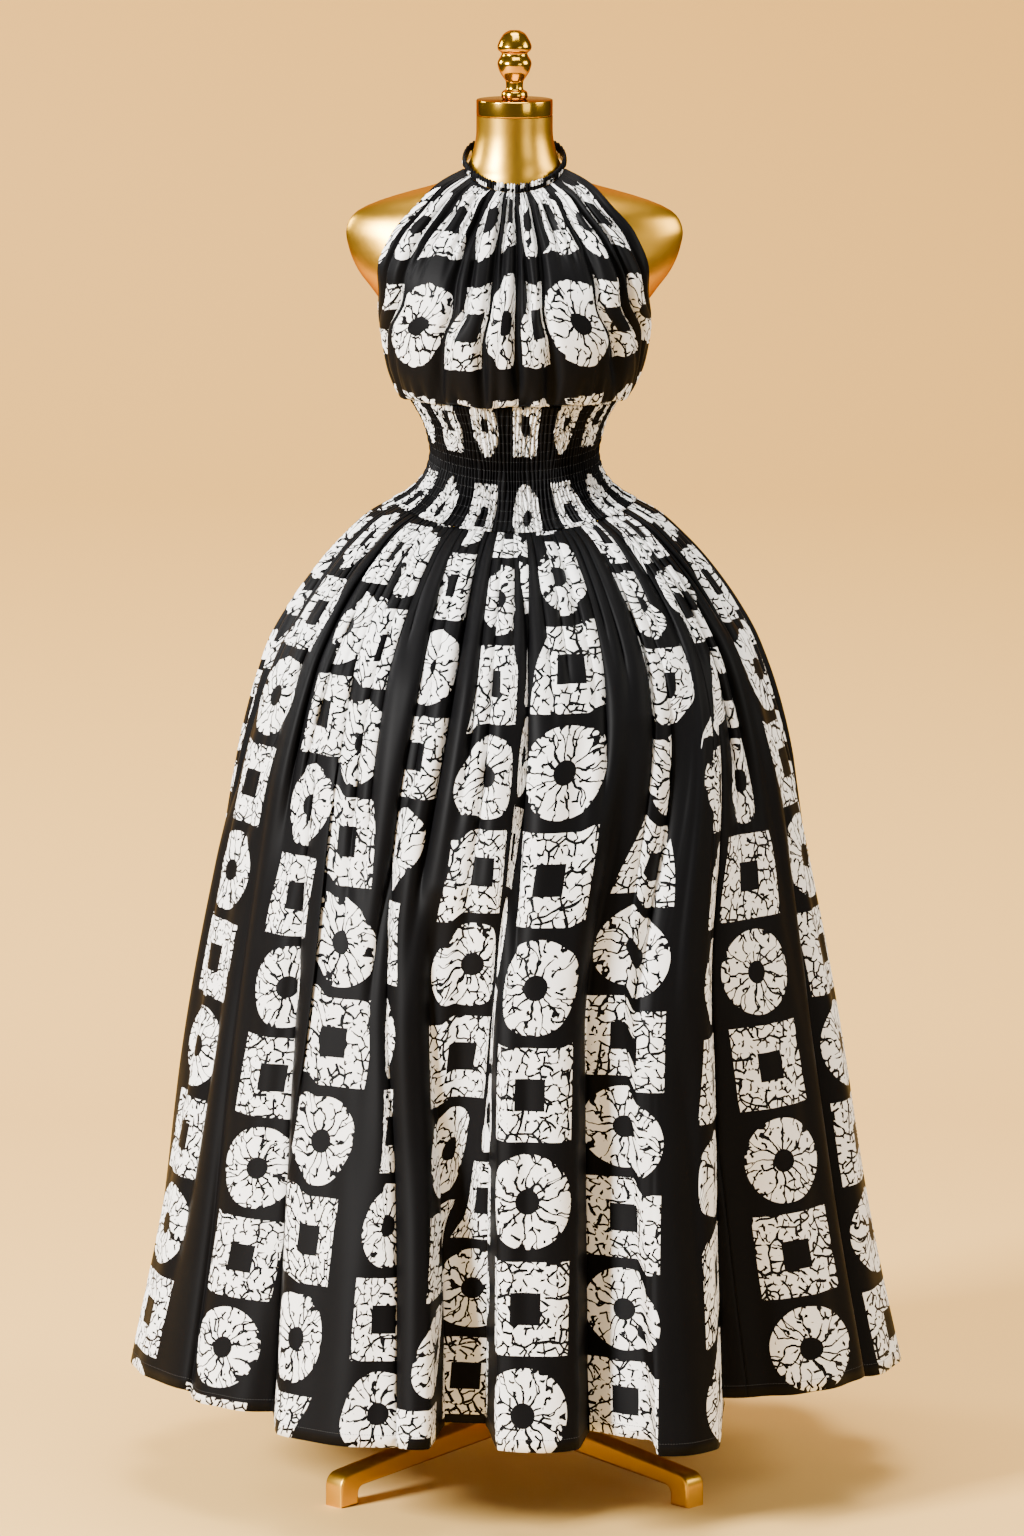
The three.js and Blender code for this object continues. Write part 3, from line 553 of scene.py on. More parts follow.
# ---- stitches ----
HEM_TURNED = 14  # from the hem to its row of stitches
STITCH_PITCH = 3.2
STITCH_LENGTH = 2.5
THREAD = 0.7  # about twice as thick as in real cloth, so that it shows
THREAD_RAISED = 0.1  # how far its middle stands off the cloth


def stitch_tree():
    """A Geometry Nodes tree that sews evenly spaced stitches along lines."""
    tree = bpy.data.node_groups.new("row_of_stitches", "GeometryNodeTree")
    face = tree.interface
    face.new_socket("Lines", in_out="INPUT", socket_type="NodeSocketGeometry")
    kinds = {"Pitch": "NodeSocketFloat", "Length": "NodeSocketFloat", "Thickness": "NodeSocketFloat",
             "Thread": "NodeSocketMaterial"}
    inputs = {name: face.new_socket(name, in_out="INPUT", socket_type=kind) for name, kind in kinds.items()}
    face.new_socket("Stitches", in_out="OUTPUT", socket_type="NodeSocketGeometry")
    given = tree.nodes.new("NodeGroupInput").outputs
    curve = add(tree, "GeometryNodeMeshToCurve", {0: given["Lines"]}).outputs[0]
    spacing = {"Curve": curve, "Length": given["Pitch"]}
    even = add(tree, "GeometryNodeResampleCurve", spacing, mode="LENGTH").outputs[0]
    along = add(tree, "GeometryNodeInputTangent").outputs[0]
    turn = add(tree, "FunctionNodeAlignRotationToVector", {"Vector": along}, axis="Z").outputs[0]
    one = add(tree, "GeometryNodeMeshUVSphere", {"Segments": 5, "Rings": 3, "Radius": 0.5}).outputs["Mesh"]
    size = vector_of(tree, given["Thickness"], given["Thickness"], given["Length"])
    links = {"Points": even, "Instance": one, "Rotation": turn, "Scale": size}
    sewn = add(tree, "GeometryNodeInstanceOnPoints", links).outputs[0]
    real = add(tree, "GeometryNodeRealizeInstances", {0: sewn}).outputs[0]
    done = add(tree, "GeometryNodeSetMaterial", {"Geometry": real, "Material": given["Thread"]}).outputs[0]
    tree.links.new(done, tree.nodes.new("NodeGroupOutput").inputs[0])
    return tree, inputs


def sew(name, lines, tree, inputs, thread):
    """Stitches along closed lines, each a row of points, as one plain mesh."""
    count = lines.shape[1]
    start = np.arange(count)
    edges = [np.stack([start, (start + 1) % count], 1) + count * n for n in range(len(lines))]
    mesh = bpy.data.meshes.new(name)
    mesh.from_pydata((lines.reshape(-1, 3) * MM).tolist(), np.concatenate(edges).tolist(), [])
    piece = new_object(name, mesh)
    modifier = piece.modifiers.new("stitches", "NODES")
    modifier.node_group = tree
    values = {"Pitch": STITCH_PITCH * MM, "Length": STITCH_LENGTH * MM, "Thickness": THREAD * MM,
              "Thread": thread}
    for key, value in values.items():
        modifier[inputs[key].identifier] = value
    evaluated = piece.evaluated_get(bpy.context.evaluated_depsgraph_get())
    sewn = bpy.data.meshes.new_from_object(evaluated)
    piece.modifiers.remove(modifier)
    piece.data = sewn
    sewn.polygons.foreach_set("use_smooth", np.ones(len(sewn.polygons), bool))
    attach(piece, "root")


def build_stitches(skirt, band, thread):
    """The hem's row of stitches, and the rows that hold the waistband's elastic."""
    tree, inputs = stitch_tree()
    ring = skirt[:, :-1]
    raised = ring + outwards(ring, True) * THREAD_RAISED
    hem = [[np.interp(HEM_TURNED, height, way) for way in points.T]
           for height, points in zip(climb(ring).T, raised.transpose(1, 0, 2))]
    sew("hem_stitches", np.array([hem]), tree, inputs, thread)
    raised = band + outwards(band, True) * THREAD_RAISED
    at = np.arange(1, ELASTIC_ROWS) / ELASTIC_ROWS * (BAND_ROWS - 1)
    low, part = at.astype(int), (at % 1)[:, None, None]
    sew("shirring_stitches", mix(raised[low], raised[low + 1], part), tree, inputs, thread)


# ---- bodice ----
# The bodice, row by row from the waistband to the casing: its height at the
# middle and at the edges, its half-widths, and how many degrees it reaches round.
BODICE = {
    "up": [0, 1, 2, 3, 4, 5, 6, 7, 8, 9],
    "centre": [1265, 1271, 1298, 1340, 1372, 1405, 1440, 1472, 1495, 1506],
    "edge": [1265, 1271, 1299, 1346, 1387, 1424, 1459, 1492, 1518, 1530],
    "side": [120, 129, 143, 152, 158, 166, 157, 129, 88, 60],
    "front": [100, 109, 121, 127, 124, 113, 97, 79.5, 66, 60],
    "reach": [112, 111, 106, 96, 76, 67, 61, 57, 66, 78],
}
BODICE_TOP = BODICE["up"][-1]
BODICE_POINTS = 380
BODICE_ROWS = 112
# Printed columns where the grain hangs straight: place across the panel, column.
BODICE_GRAIN = [
    (-1.0, -1.75), (-0.8, -1), (-0.5, 0), (-0.226, 1), (-0.051, 2), (0.125, 3), (0.329, 4), (0.6, 5),
    (0.83, 6), (1.0, 6.6),
]
BODICE_DISC_ROW = 1364  # height of the middle of the full row of motifs
BODICE_TILT = 8  # how far that row climbs towards the wearer's left
BODICE_EASE = 8  # how far the cloth stands off between its folds
BODICE_SINKS_LOW = 2.6  # how far its folds may sink near the waistband
BODICE_SINKS_HIGH = 1.5  # and near the neck
BLOUSING = 5.5  # how far it hangs over the top of the waistband
PLEATS_SLIP = 5  # how far the rows of the print step from pleat to pleat
ROWS_WAVER = 2.5
# How the rows of the print lie up the bodice, from the middle of the full row:
# the black between the rows is drawn wide by the gathers above and below it.
BODICE_ROWS_SHOWN = {"rise": [-142, -90, -52, 52, 84, 124, 184], "print": [-116, -64, -52, 52, 64, 108, 166]}

# The small puckers under the casing and above the waistband: how many there are,
# how far they stray from their even places, how far they reach from the seam, in
# rows of BODICE, and how they lean. Then their width and how it grows, their depth
# and its share at the seam, the cloth they hide and the share of their width
# that hides it.
Puckers = namedtuple("Puckers", "count astray reach lean wide widens deep at_seam hides hides_wide")
NECK_PUCKERS = Puckers(44, 0.28, [1.2, 2.0, 3.2, 4.6], 0.014, 0.0125, 0.0032, (5.0, 9.5), 0.5, 0.8, 0.36)
BLOUSE_PUCKERS = Puckers(40, 0.3, [1.6, 2.4, 3.4], 0.012, 0.013, 0.006, (3.2, 6.4), 1, 0.6, 0.4)

# The bodice's large folds: place across it, depth, width, how low it reaches,
# and the share of the spare cloth that it hides.
LARGE_FOLDS_DEEPER = 1.5  # times the depths in the table
LargeFold = namedtuple("LargeFold", "place deep wide low hides")
LARGE_FOLDS = [LargeFold(*values) for values in (
    (-0.90, 4, 0.022, 1.2, 0.8), (-0.74, 6, 0.030, 0.8, 1.4),
    (-0.66, 5, 0.022, 4.6, 0.7), (-0.42, 5, 0.026, 5.2, 0.1),
    (-0.345, 7, 0.030, 0.6, 1.6), (-0.265, 6, 0.022, 2.8, 0.9),
    (-0.135, 8, 0.026, 0.8, 1.5), (-0.075, 5, 0.018, 4.2, 0.6),
    (0.010, 8, 0.024, 0.5, 1.5), (0.075, 6, 0.022, 3.2, 0.8),
    (0.165, 9, 0.028, 0.4, 1.7), (0.30, 5, 0.026, 5.0, 0.1),
    (0.40, 5, 0.024, 4.8, 0.1), (0.495, 8, 0.032, 1.0, 1.6),
    (0.66, 6, 0.026, 2.0, 1.0), (0.735, 6, 0.024, 1.2, 1.3),
    (0.90, 4, 0.022, 1.4, 0.8),
)]


def puckers(rng, t, away, kind):
    """Depth of a seam's small puckers, so far away from it, and where they hide cloth."""
    depth, hidden = 0, 0
    for k in range(kind.count):
        centre = -1 + 2 * (k + 0.5 + rng.uniform(-kind.astray, kind.astray)) / kind.count
        reach = rng.choice(kind.reach)
        offset = t - centre - rng.uniform(-kind.lean, kind.lean) * away
        fade = 1 - smoothstep(reach * 0.3, reach, away)
        wide = kind.wide + kind.widens * away
        deep = rng.uniform(*kind.deep) * mix(kind.at_seam, 1, smoothstep(0, 0.7, away))
        depth = depth + deep * bell(offset, wide) * fade
        hidden = hidden + kind.hides * bell(offset, wide * kind.hides_wide) * fade
    return depth, hidden


def neck_puckers(t, up):
    """The puckers under the casing, which the casing's own cloth carries on."""
    return puckers(np.random.default_rng(17), t, BODICE_TOP - up, NECK_PUCKERS)


def bodice_folds(t, up):
    """Depth of all the folds across the bodice, and where they hide cloth."""
    depth, hidden = neck_puckers(t, up)
    for fold in LARGE_FOLDS:
        offset = t - fold.place - 0.008 * np.sin(up * 1.2 + fold.place * 40)
        opened = smoothstep(fold.low, fold.low + 1.8, up)
        wide = fold.wide * mix(1, 0.72, smoothstep(4, 8, up))
        fade = opened * mix(1, 0.5, smoothstep(7.2, BODICE_TOP, up))
        depth = depth + LARGE_FOLDS_DEEPER * fold.deep * bell(offset, wide) * fade
        hidden = hidden + fold.hides * mix(0.6, 1, opened) * bell(offset, 0.009)
    more, more_hidden = puckers(np.random.default_rng(19), t, up, BLOUSE_PUCKERS)
    return depth + more, hidden + more_hidden


def build_bodice(material):
    """The halter panel. Returns where the print lies along its upper edge."""
    t = np.linspace(-1, 1, BODICE_POINTS)[None, :]
    share = np.linspace(0, 1, BODICE_ROWS)[:, None]
    up = BODICE_TOP * mix(share, smoothstep(0, 1, share), 0.55)
    depth, hidden = bodice_folds(t, up)
    free = smoothstep(0, 1.2, up) * smoothstep(BODICE_TOP, 7.6, up)
    swell = 1.5 * ripple(t * 8, up * 1.3, 6, 41) * free
    out = BODICE_EASE * (1 - 0.6 * np.abs(t) ** 3) * free + swell - depth
    # The cloth can stand out, but never sinks into the form behind it.
    least = -mix(BODICE_SINKS_LOW, BODICE_SINKS_HIGH, smoothstep(5, 8, up))
    out = np.where(out < least, least + 0.25 * (out - least), out)
    out = np.maximum(out, least - 1.2)
    angle = np.radians(read(BODICE, "reach", up) * t)
    front = read(BODICE, "front", up)
    x, y = oval(angle, read(BODICE, "side", up) + out, front + out, front * 0.9 + out)
    lift = np.abs(t) ** 1.7
    z = mix(read(BODICE, "centre", up), read(BODICE, "edge", up), lift) + SEAM_GAP + 0 * x
    # The cloth blouses a little over the top of the waistband.
    z = z - BLOUSING * bell(up - 1.1, 0.7) * smoothstep(0, 0.5, up) * (0.7 + 0.3 * ripple(t * 16, up, 5, 44))
    outer = np.stack([x, y, z], 2)
    inner = inner_face(outer, False)
    places = np.linspace(-1, 1, BODICE_POINTS)
    across = lay_print(outer, hidden, places, BODICE_GRAIN)
    rise = climb(outer)
    middle = int(np.argmin(np.abs(outer[:, BODICE_POINTS // 2, 2] - BODICE_DISC_ROW)))
    rise = rise - rise[middle:middle + 1] * 0.5 - rise[middle, BODICE_POINTS // 2] * 0.5
    slipped = PLEATS_SLIP * ripple(t * 22, up * 0.5, 5, 47) * smoothstep(3.4, 6.0, up)
    rise = rise - BODICE_TILT * t + slipped + ROWS_WAVER * ripple(t * 9, up * 0.5, 4, 48)
    rise = np.interp(rise, BODICE_ROWS_SHOWN["rise"], BODICE_ROWS_SHOWN["print"]) + FIRST_ROW + 2 * PITCH_UP
    uv = np.stack([across * PITCH_ACROSS, rise], 2)
    piece = cloth_piece("bodice_cloth", outer, inner, uv, False)
    stand_for(piece, material, "printed_cotton", "bodice_front")
    return places, across[-1] * PITCH_ACROSS, rise[-1]


# ---- neck casing ----
CASING_POINTS = 640
CASING_HEIGHT = 10
CASING_HALF = 1.5  # half its thickness
CASING_WIDE, CASING_DEEP = 57.6, 50  # from its middle to its sides and front, and to its back
CASING_BACK_RISE = 14
CASING_TALLER_BEHIND = 1.7  # times its height in front
CASING_SECTION = 16  # points round the casing's section
BODICE_END = 78  # degrees from the centre front at which the bodice's upper edge ends


def build_neck_casing(material, print_at_neck):
    """The cloth of the neckline turned over its elastic, gathered all round."""
    degrees = np.linspace(-180, 180, CASING_POINTS, endpoint=False)[None, :]
    turn = np.linspace(0, TAU, CASING_SECTION, endpoint=False)[:, None]
    angle = np.radians(degrees)
    t = degrees / BODICE_END
    depth, _ = neck_puckers(np.clip(t, -1, 1), BODICE_TOP)
    behind = 1.3 * (1 - np.cos(angle * 52 + np.sin(angle * 11)))
    in_front = smoothstep(BODICE_END + 2, BODICE_END - 4, np.abs(degrees))
    pucker = 1.2 - mix(behind * 0.6, depth * 0.75, in_front)
    # The section is an upright rounded bar, run from its outer side over the top.
    outer_side, top_side = np.cos(turn), np.sin(turn)
    out = np.sign(outer_side) * np.abs(outer_side) ** 0.7 * CASING_HALF + pucker * np.maximum(outer_side, 0)
    level = 0.5 + 0.5 * np.sign(top_side) * np.abs(top_side) ** 0.8
    taller = mix(1, CASING_TALLER_BEHIND, smoothstep(60, 125, np.abs(degrees)))
    height = level * CASING_HEIGHT * taller + pucker * 0.8 * np.maximum(top_side, 0)
    x, y = oval(angle, CASING_WIDE + out, CASING_WIDE + out, CASING_DEEP + out)
    side = np.minimum(np.abs(t), 1)
    front = mix(BODICE["centre"][-1], BODICE["edge"][-1], side ** 1.7)
    z = front + CASING_BACK_RISE * smoothstep(0.2, -1, np.cos(angle)) + 2 * SEAM_GAP + height
    grid = np.stack([x, y, z], 2)

    # The print runs on from the bodice, and round the back at the cloth's own width.
    places, across, up = print_at_neck
    edge = np.append(degrees[0], 180)
    bare = np.maximum(np.abs(edge) - BODICE_END, 0) * np.sign(edge) * 0.95
    column = np.interp(edge / BODICE_END, places, across) + bare
    base = np.interp(edge / BODICE_END, places, up)
    step = 2 * (CASING_HEIGHT + 2 * CASING_HALF) / CASING_SECTION
    rise = np.arange(CASING_SECTION)[:, None] * step + base
    uv = np.stack([column + 0 * rise, rise], 2)
    _, faces, where = ring_faces(grid, uv, CASING_POINTS)
    piece = mesh_piece("neck_casing_cloth", grid.reshape(-1, 3), faces, (), where.reshape(-1, 2))
    stand_for(piece, material, "casing_cotton", "neck_casing")


# ---- dress form ----
# The torso's rings. Where it is slim, its sides are flatter than an oval's.
TORSO = {
    "z": [800, 806, 850, 930, 1010, 1075, 1120, 1158, 1190, 1203, 1240, 1272, 1305, 1340, 1366, 1389, 1412,
          1435, 1456, 1470, 1481, 1493, 1504, 1514, 1523, 1533, 1550, 1573, 1590],
    "side": [112, 124, 140, 152, 154, 143, 124, 104, 92.9, 92.1, 100, 112, 130, 141, 148, 163, 180,
             190, 194, 190, 180, 154, 118, 82, 64, 54.5, 47.5, 44, 44],
    "front": [90, 98, 108, 115, 114, 106, 95, 83, 75.8, 76.4, 84, 92, 107, 115, 109, 97, 87,
              77, 68, 63, 60, 57.5, 55.2, 52.8, 50.6, 48.8, 45.5, 44, 44],
    "back": [88, 98, 112, 122, 122, 112, 96, 80, 70.6, 70, 75.5, 80, 86, 91, 93, 92, 88,
             81, 74, 68, 63, 58, 54, 51.5, 49.6, 48.2, 46.5, 44, 44],
    "slim": [0, 0, 0, 0, 0, 0, 0, 0, 0, 0, 0, 0, 0, 0.02, 0.25, 0.5, 0.45,
             0.45, 0.45, 0.45, 0.5, 0.7, 1.0, 1.15, 0.7, 0.12, 0, 0, 0],
}
TORSO_POINTS = 160
TORSO_STEP = 6  # between its rings
NECK_CAP = (44, 1590.3, 1609, 1.6)  # radius, bottom, top and the rounding of its edges


def closed_surface(name, grid):
    """A solid from rings of points that run upwards, closed flat at both ends."""
    rows, cols = grid.shape[:2]
    j, i = cells(rows - 1, cols)
    beside = (i + 1) % cols
    quads = np.stack([i, beside, cols + beside, cols + i], 1) + cols * j[:, None]
    bottom = list(range(cols))[::-1]
    top = [(rows - 1) * cols + n for n in range(cols)]
    mesh = bpy.data.meshes.new(name)
    mesh.from_pydata((grid.reshape(-1, 3) * MM).tolist(), [], quads.tolist() + [bottom, top])
    mesh.polygons.foreach_set("use_smooth", np.ones(len(quads) + 2, bool))
    mesh.set_sharp_from_angle(angle=math.radians(50))
    return new_object(name, mesh)


def build_torso(material):
    """The form's torso, with its neck and its shoulder caps."""
    heights = []
    for low, high in zip(TORSO["z"], TORSO["z"][1:]):
        count = max(2, round((high - low) / TORSO_STEP))
        heights += list(np.linspace(low, high, count, endpoint=False))
    z = np.array(heights + [TORSO["z"][-1]])[:, None]
    angle = np.linspace(0, TAU, TORSO_POINTS, endpoint=False)[None, :]
    x, y = oval(angle, *read_oval(TORSO, z))
    y = y * np.maximum(np.abs(np.cos(angle)), 1e-3) ** read(TORSO, "slim", z)
    grid = np.stack([x, y, z + 0 * x], 2)
    stand_for(closed_surface("dress_form", grid), material, "satin_gold", "form_torso")


def smooth_profile(profile, fine):
    """More points on a smooth curve through a turned part's radii and heights."""
    p = np.array(profile, float)
    p = np.vstack([2 * p[0] - p[1], p, 2 * p[-1] - p[-2]])
    out = []
    for a, b, c, d in zip(p, p[1:], p[2:], p[3:]):
        for s in np.arange(fine) / fine:
            out.append(0.5 * (2 * b + (c - a) * s + (2 * a - 5 * b + 4 * c - d) * s ** 2
                              + (3 * b - a - 3 * c + d) * s ** 3))
    return np.array(out + [p[-2]])


def turned(name, profile, around):
    """A turned part from its radii and heights, lowest first."""
    radius, z = np.asarray(profile, float).T
    angle = np.linspace(0, TAU, around, endpoint=False)[None, :]
    x, y = oval(angle, radius[:, None], radius[:, None], radius[:, None])
    return closed_surface(name, np.stack([x, y, z[:, None] + 0 * x], 2))


def rounded_drum(radius, bottom, top, edge):
    """Profile of a plain drum with rounded edges."""
    quarter = np.linspace(0, math.pi / 2, 6)
    low = [(radius - edge + edge * math.sin(a), bottom + edge - edge * math.cos(a)) for a in quarter]
    high = [(radius - edge + edge * math.cos(a), top - edge + edge * math.sin(a)) for a in quarter]
    return low + high


FINIAL_BASE = 1609.3
FINIAL = [
    (13.5, 0), (14.8, 2), (15.2, 5), (14, 8.5), (10.4, 11), (9.8, 16), (10.6, 21), (14, 26), (17, 31),
    (19, 37), (19.6, 41), (18.4, 45), (15.4, 50), (15.2, 53), (18.6, 56), (19.7, 60), (18.6, 64),
    (16.2, 69), (12, 75), (6, 78.6),
]


def build_head(brass):
    """The turned cap and finial on the neck."""
    cap = turned("neck_cap_brass", rounded_drum(*NECK_CAP), 160)
    stand_for(cap, brass, "polished_brass", "neck_cap")
    profile = smooth_profile([(r, FINIAL_BASE + h) for r, h in FINIAL], 6)
    tip = [(3.4, FINIAL_BASE + 78.75), (1.2, FINIAL_BASE + 78.8)]
    finial = turned("finial_brass", list(map(tuple, profile)) + tip, 96)
    stand_for(finial, brass, "polished_brass", "finial")


# ---- stand ----
# The heading of each leg, in degrees.
LEGS = {"leg_front_left": -45, "leg_back_left": 45, "leg_back_right": 135, "leg_front_right": 225}
HUB = (18, 28, 74, 2.5)  # radius, bottom, top and the rounding of its edges
POLE = (14, 74.3, 799.7, 0.8)
LEG_WIDTH = 28
LEG_EDGE = 3
LEG_START = 20.3  # from the middle of the stand, as the next two
LEG_TOE = 296
LEG_HEEL = 268
LEG_TOP = 71
FOOT_TOP = 38
TOE_BEND = 17


def leg_outline():
    """The leg's side view, anticlockwise, in reach and height."""
    def curve(a, corner, b):
        s = np.linspace(0, 1, 9)[:, None]
        a, corner, b = map(np.array, (a, corner, b))
        return ((1 - s) ** 2 * a + 2 * s * (1 - s) * corner + s ** 2 * b).tolist()

    points = [[LEG_START, 44]] + curve((LEG_HEEL - 9, 22.1), (LEG_HEEL, 21), (LEG_HEEL, 12))
    points += [[LEG_HEEL, 0], [LEG_TOE, 0]]
    points += curve((LEG_TOE, FOOT_TOP - TOE_BEND), (LEG_TOE, FOOT_TOP), (LEG_TOE - TOE_BEND, FOOT_TOP + 1.5))
    return points + [[LEG_START, LEG_TOP]]


def build_stand(material):
    """Four legs with turned-down feet, the hub between them and the pole."""
    for name, heading in LEGS.items():
        curve = bpy.data.curves.new(name, "CURVE")
        curve.dimensions = "2D"
        curve.fill_mode = "BOTH"
        spline = curve.splines.new("POLY")
        outline = leg_outline()
        spline.points.add(len(outline) - 1)
        for point, (reach, height) in zip(spline.points, outline):
            point.co = (reach * MM, height * MM, 0, 1)
        spline.use_cyclic_u = True
        curve.extrude = (LEG_WIDTH / 2 - LEG_EDGE) * MM
        curve.bevel_depth = LEG_EDGE * MM
        curve.offset = -LEG_EDGE * MM
        curve.bevel_resolution = 3
        holder = new_object(name + "_curve", curve)
        bpy.context.view_layer.update()
        mesh = bpy.data.meshes.new_from_object(holder.evaluated_get(bpy.context.evaluated_depsgraph_get()))
        bpy.data.objects.remove(holder)
        flat = np.empty(len(mesh.vertices) * 3)
        mesh.vertices.foreach_get("co", flat)
        flat = flat.reshape(-1, 3)
        turn = math.radians(heading)
        placed = np.stack([flat[:, 0] * math.cos(turn) + flat[:, 2] * math.sin(turn),
                           flat[:, 0] * math.sin(turn) - flat[:, 2] * math.cos(turn), flat[:, 1]], 1)
        mesh.vertices.foreach_set("co", placed.ravel())
        mesh.polygons.foreach_set("use_smooth", np.ones(len(mesh.polygons), bool))
        mesh.set_sharp_from_angle(angle=math.radians(40))
        stand_for(new_object(name + "_bar", mesh), material, "stand_gold", name)
    hub = turned("hub_gold", rounded_drum(*HUB), 72)
    stand_for(hub, material, "stand_gold", "hub")
    pole = turned("pole_gold", rounded_drum(*POLE), 64)
    stand_for(pole, material, "stand_gold", "pole")


# ---- nodes ----
class Output:
    """A node's output. Sums with it add the nodes that do them."""

    def __init__(self, tree, socket):
        self.tree, self.socket = tree, socket

    def do(self, operation, *others):
        return sums(self.tree, operation, self, *others)


# The signs that add a Math node, by the names that Python has for them.
SIGNS = {"add": "ADD", "sub": "SUBTRACT", "mul": "MULTIPLY", "truediv": "DIVIDE", "mod": "FLOORED_MODULO",
         "gt": "GREATER_THAN", "lt": "LESS_THAN"}
for sign, operation in SIGNS.items():
    setattr(Output, f"__{sign}__", lambda a, b, operation=operation: a.do(operation, b))


def join(tree, node, links):
    """Joins a node's inputs to outputs, or sets them to values."""
    for socket, value in links.items():
        if isinstance(value, Output):
            value = value.socket
        if isinstance(value, bpy.types.NodeSocket):
            tree.links.new(value, node.inputs[socket])
        else:
            node.inputs[socket].default_value = value


def add(tree, kind, links=None, **settings):
    """Adds a node with its settings and its inputs."""
    node = tree.nodes.new(kind)
    for name, value in settings.items():
        setattr(node, name, value)
    join(tree, node, links or {})
    return node


def sums(tree, operation, *values):
    node = add(tree, "ShaderNodeMath", dict(enumerate(values)), operation=operation)
    return Output(tree, node.outputs[0])


def ramp(tree, value, low, high, to_low=0.0, to_high=1.0, way="SMOOTHSTEP"):
    """Carries a value from one range to another, within its ends."""
    links = {"Value": value, "From Min": low, "From Max": high, "To Min": to_low, "To Max": to_high}
    return Output(tree, add(tree, "ShaderNodeMapRange", links, interpolation_type=way).outputs["Result"])


def blend(tree, share, a, b, kind="RGBA"):
    links = {"Factor": share, "A": a, "B": b}
    return Output(tree, add(tree, "ShaderNodeMix", links, data_type=kind).outputs["Result"])


def mix_shaders(tree, share, a, b):
    return add(tree, "ShaderNodeMixShader", {0: share, 1: a, 2: b}).outputs[0]


def vector_of(tree, x, y, z=0.0):
    return add(tree, "ShaderNodeCombineXYZ", {"X": x, "Y": y, "Z": z}).outputs[0]


def noise(tree, place, scale, detail=1.0, rough=0.5):
    links = {"Vector": place, "Scale": scale, "Detail": detail, "Roughness": rough}
    return Output(tree, add(tree, "ShaderNodeTexNoise", links).outputs[0])


def bump(tree, height, strength, distance):
    links = {"Height": height, "Strength": strength, "Distance": distance}
    return add(tree, "ShaderNodeBump", links).outputs[0]


def shaken(tree, place, scale, amount):
    """A place moved about by soft noise, so that straight lines waver."""
    def vectors(operation, links):
        return add(tree, "ShaderNodeVectorMath", links, operation=operation).outputs[0]

    wobble = noise(tree, place, scale).socket.node.outputs["Color"]
    centred = vectors("SUBTRACT", {0: wobble, 1: (0.5, 0.5, 0.5)})
    return vectors("ADD", {0: place, 1: vectors("SCALE", {0: centred, "Scale": amount})})


# ---- materials ----
def linear(colour):
    """A colour written as sRGB hex, in the linear light that shaders use."""
    parts = [int(colour[n:n + 2], 16) / 255 for n in (1, 3, 5)]
    return tuple(c / 12.92 if c <= 0.04045 else ((c + 0.055) / 1.055) ** 2.4 for c in parts) + (1,)


def new_material(name):
    material = bpy.data.materials.new(name)
    material.use_nodes = True
    tree = material.node_tree
    return material, tree, tree.nodes["Principled BSDF"]


def cracks(tree, place, cell, half_width):
    """1 on the lines between the cells of a cracked wax film, 0 elsewhere."""
    links = {"Vector": place, "Scale": 1 / cell, "Randomness": 1.0}
    cells = add(tree, "ShaderNodeTexVoronoi", links, feature="DISTANCE_TO_EDGE", voronoi_dimensions="2D")
    return Output(tree, cells.outputs["Distance"]) < half_width


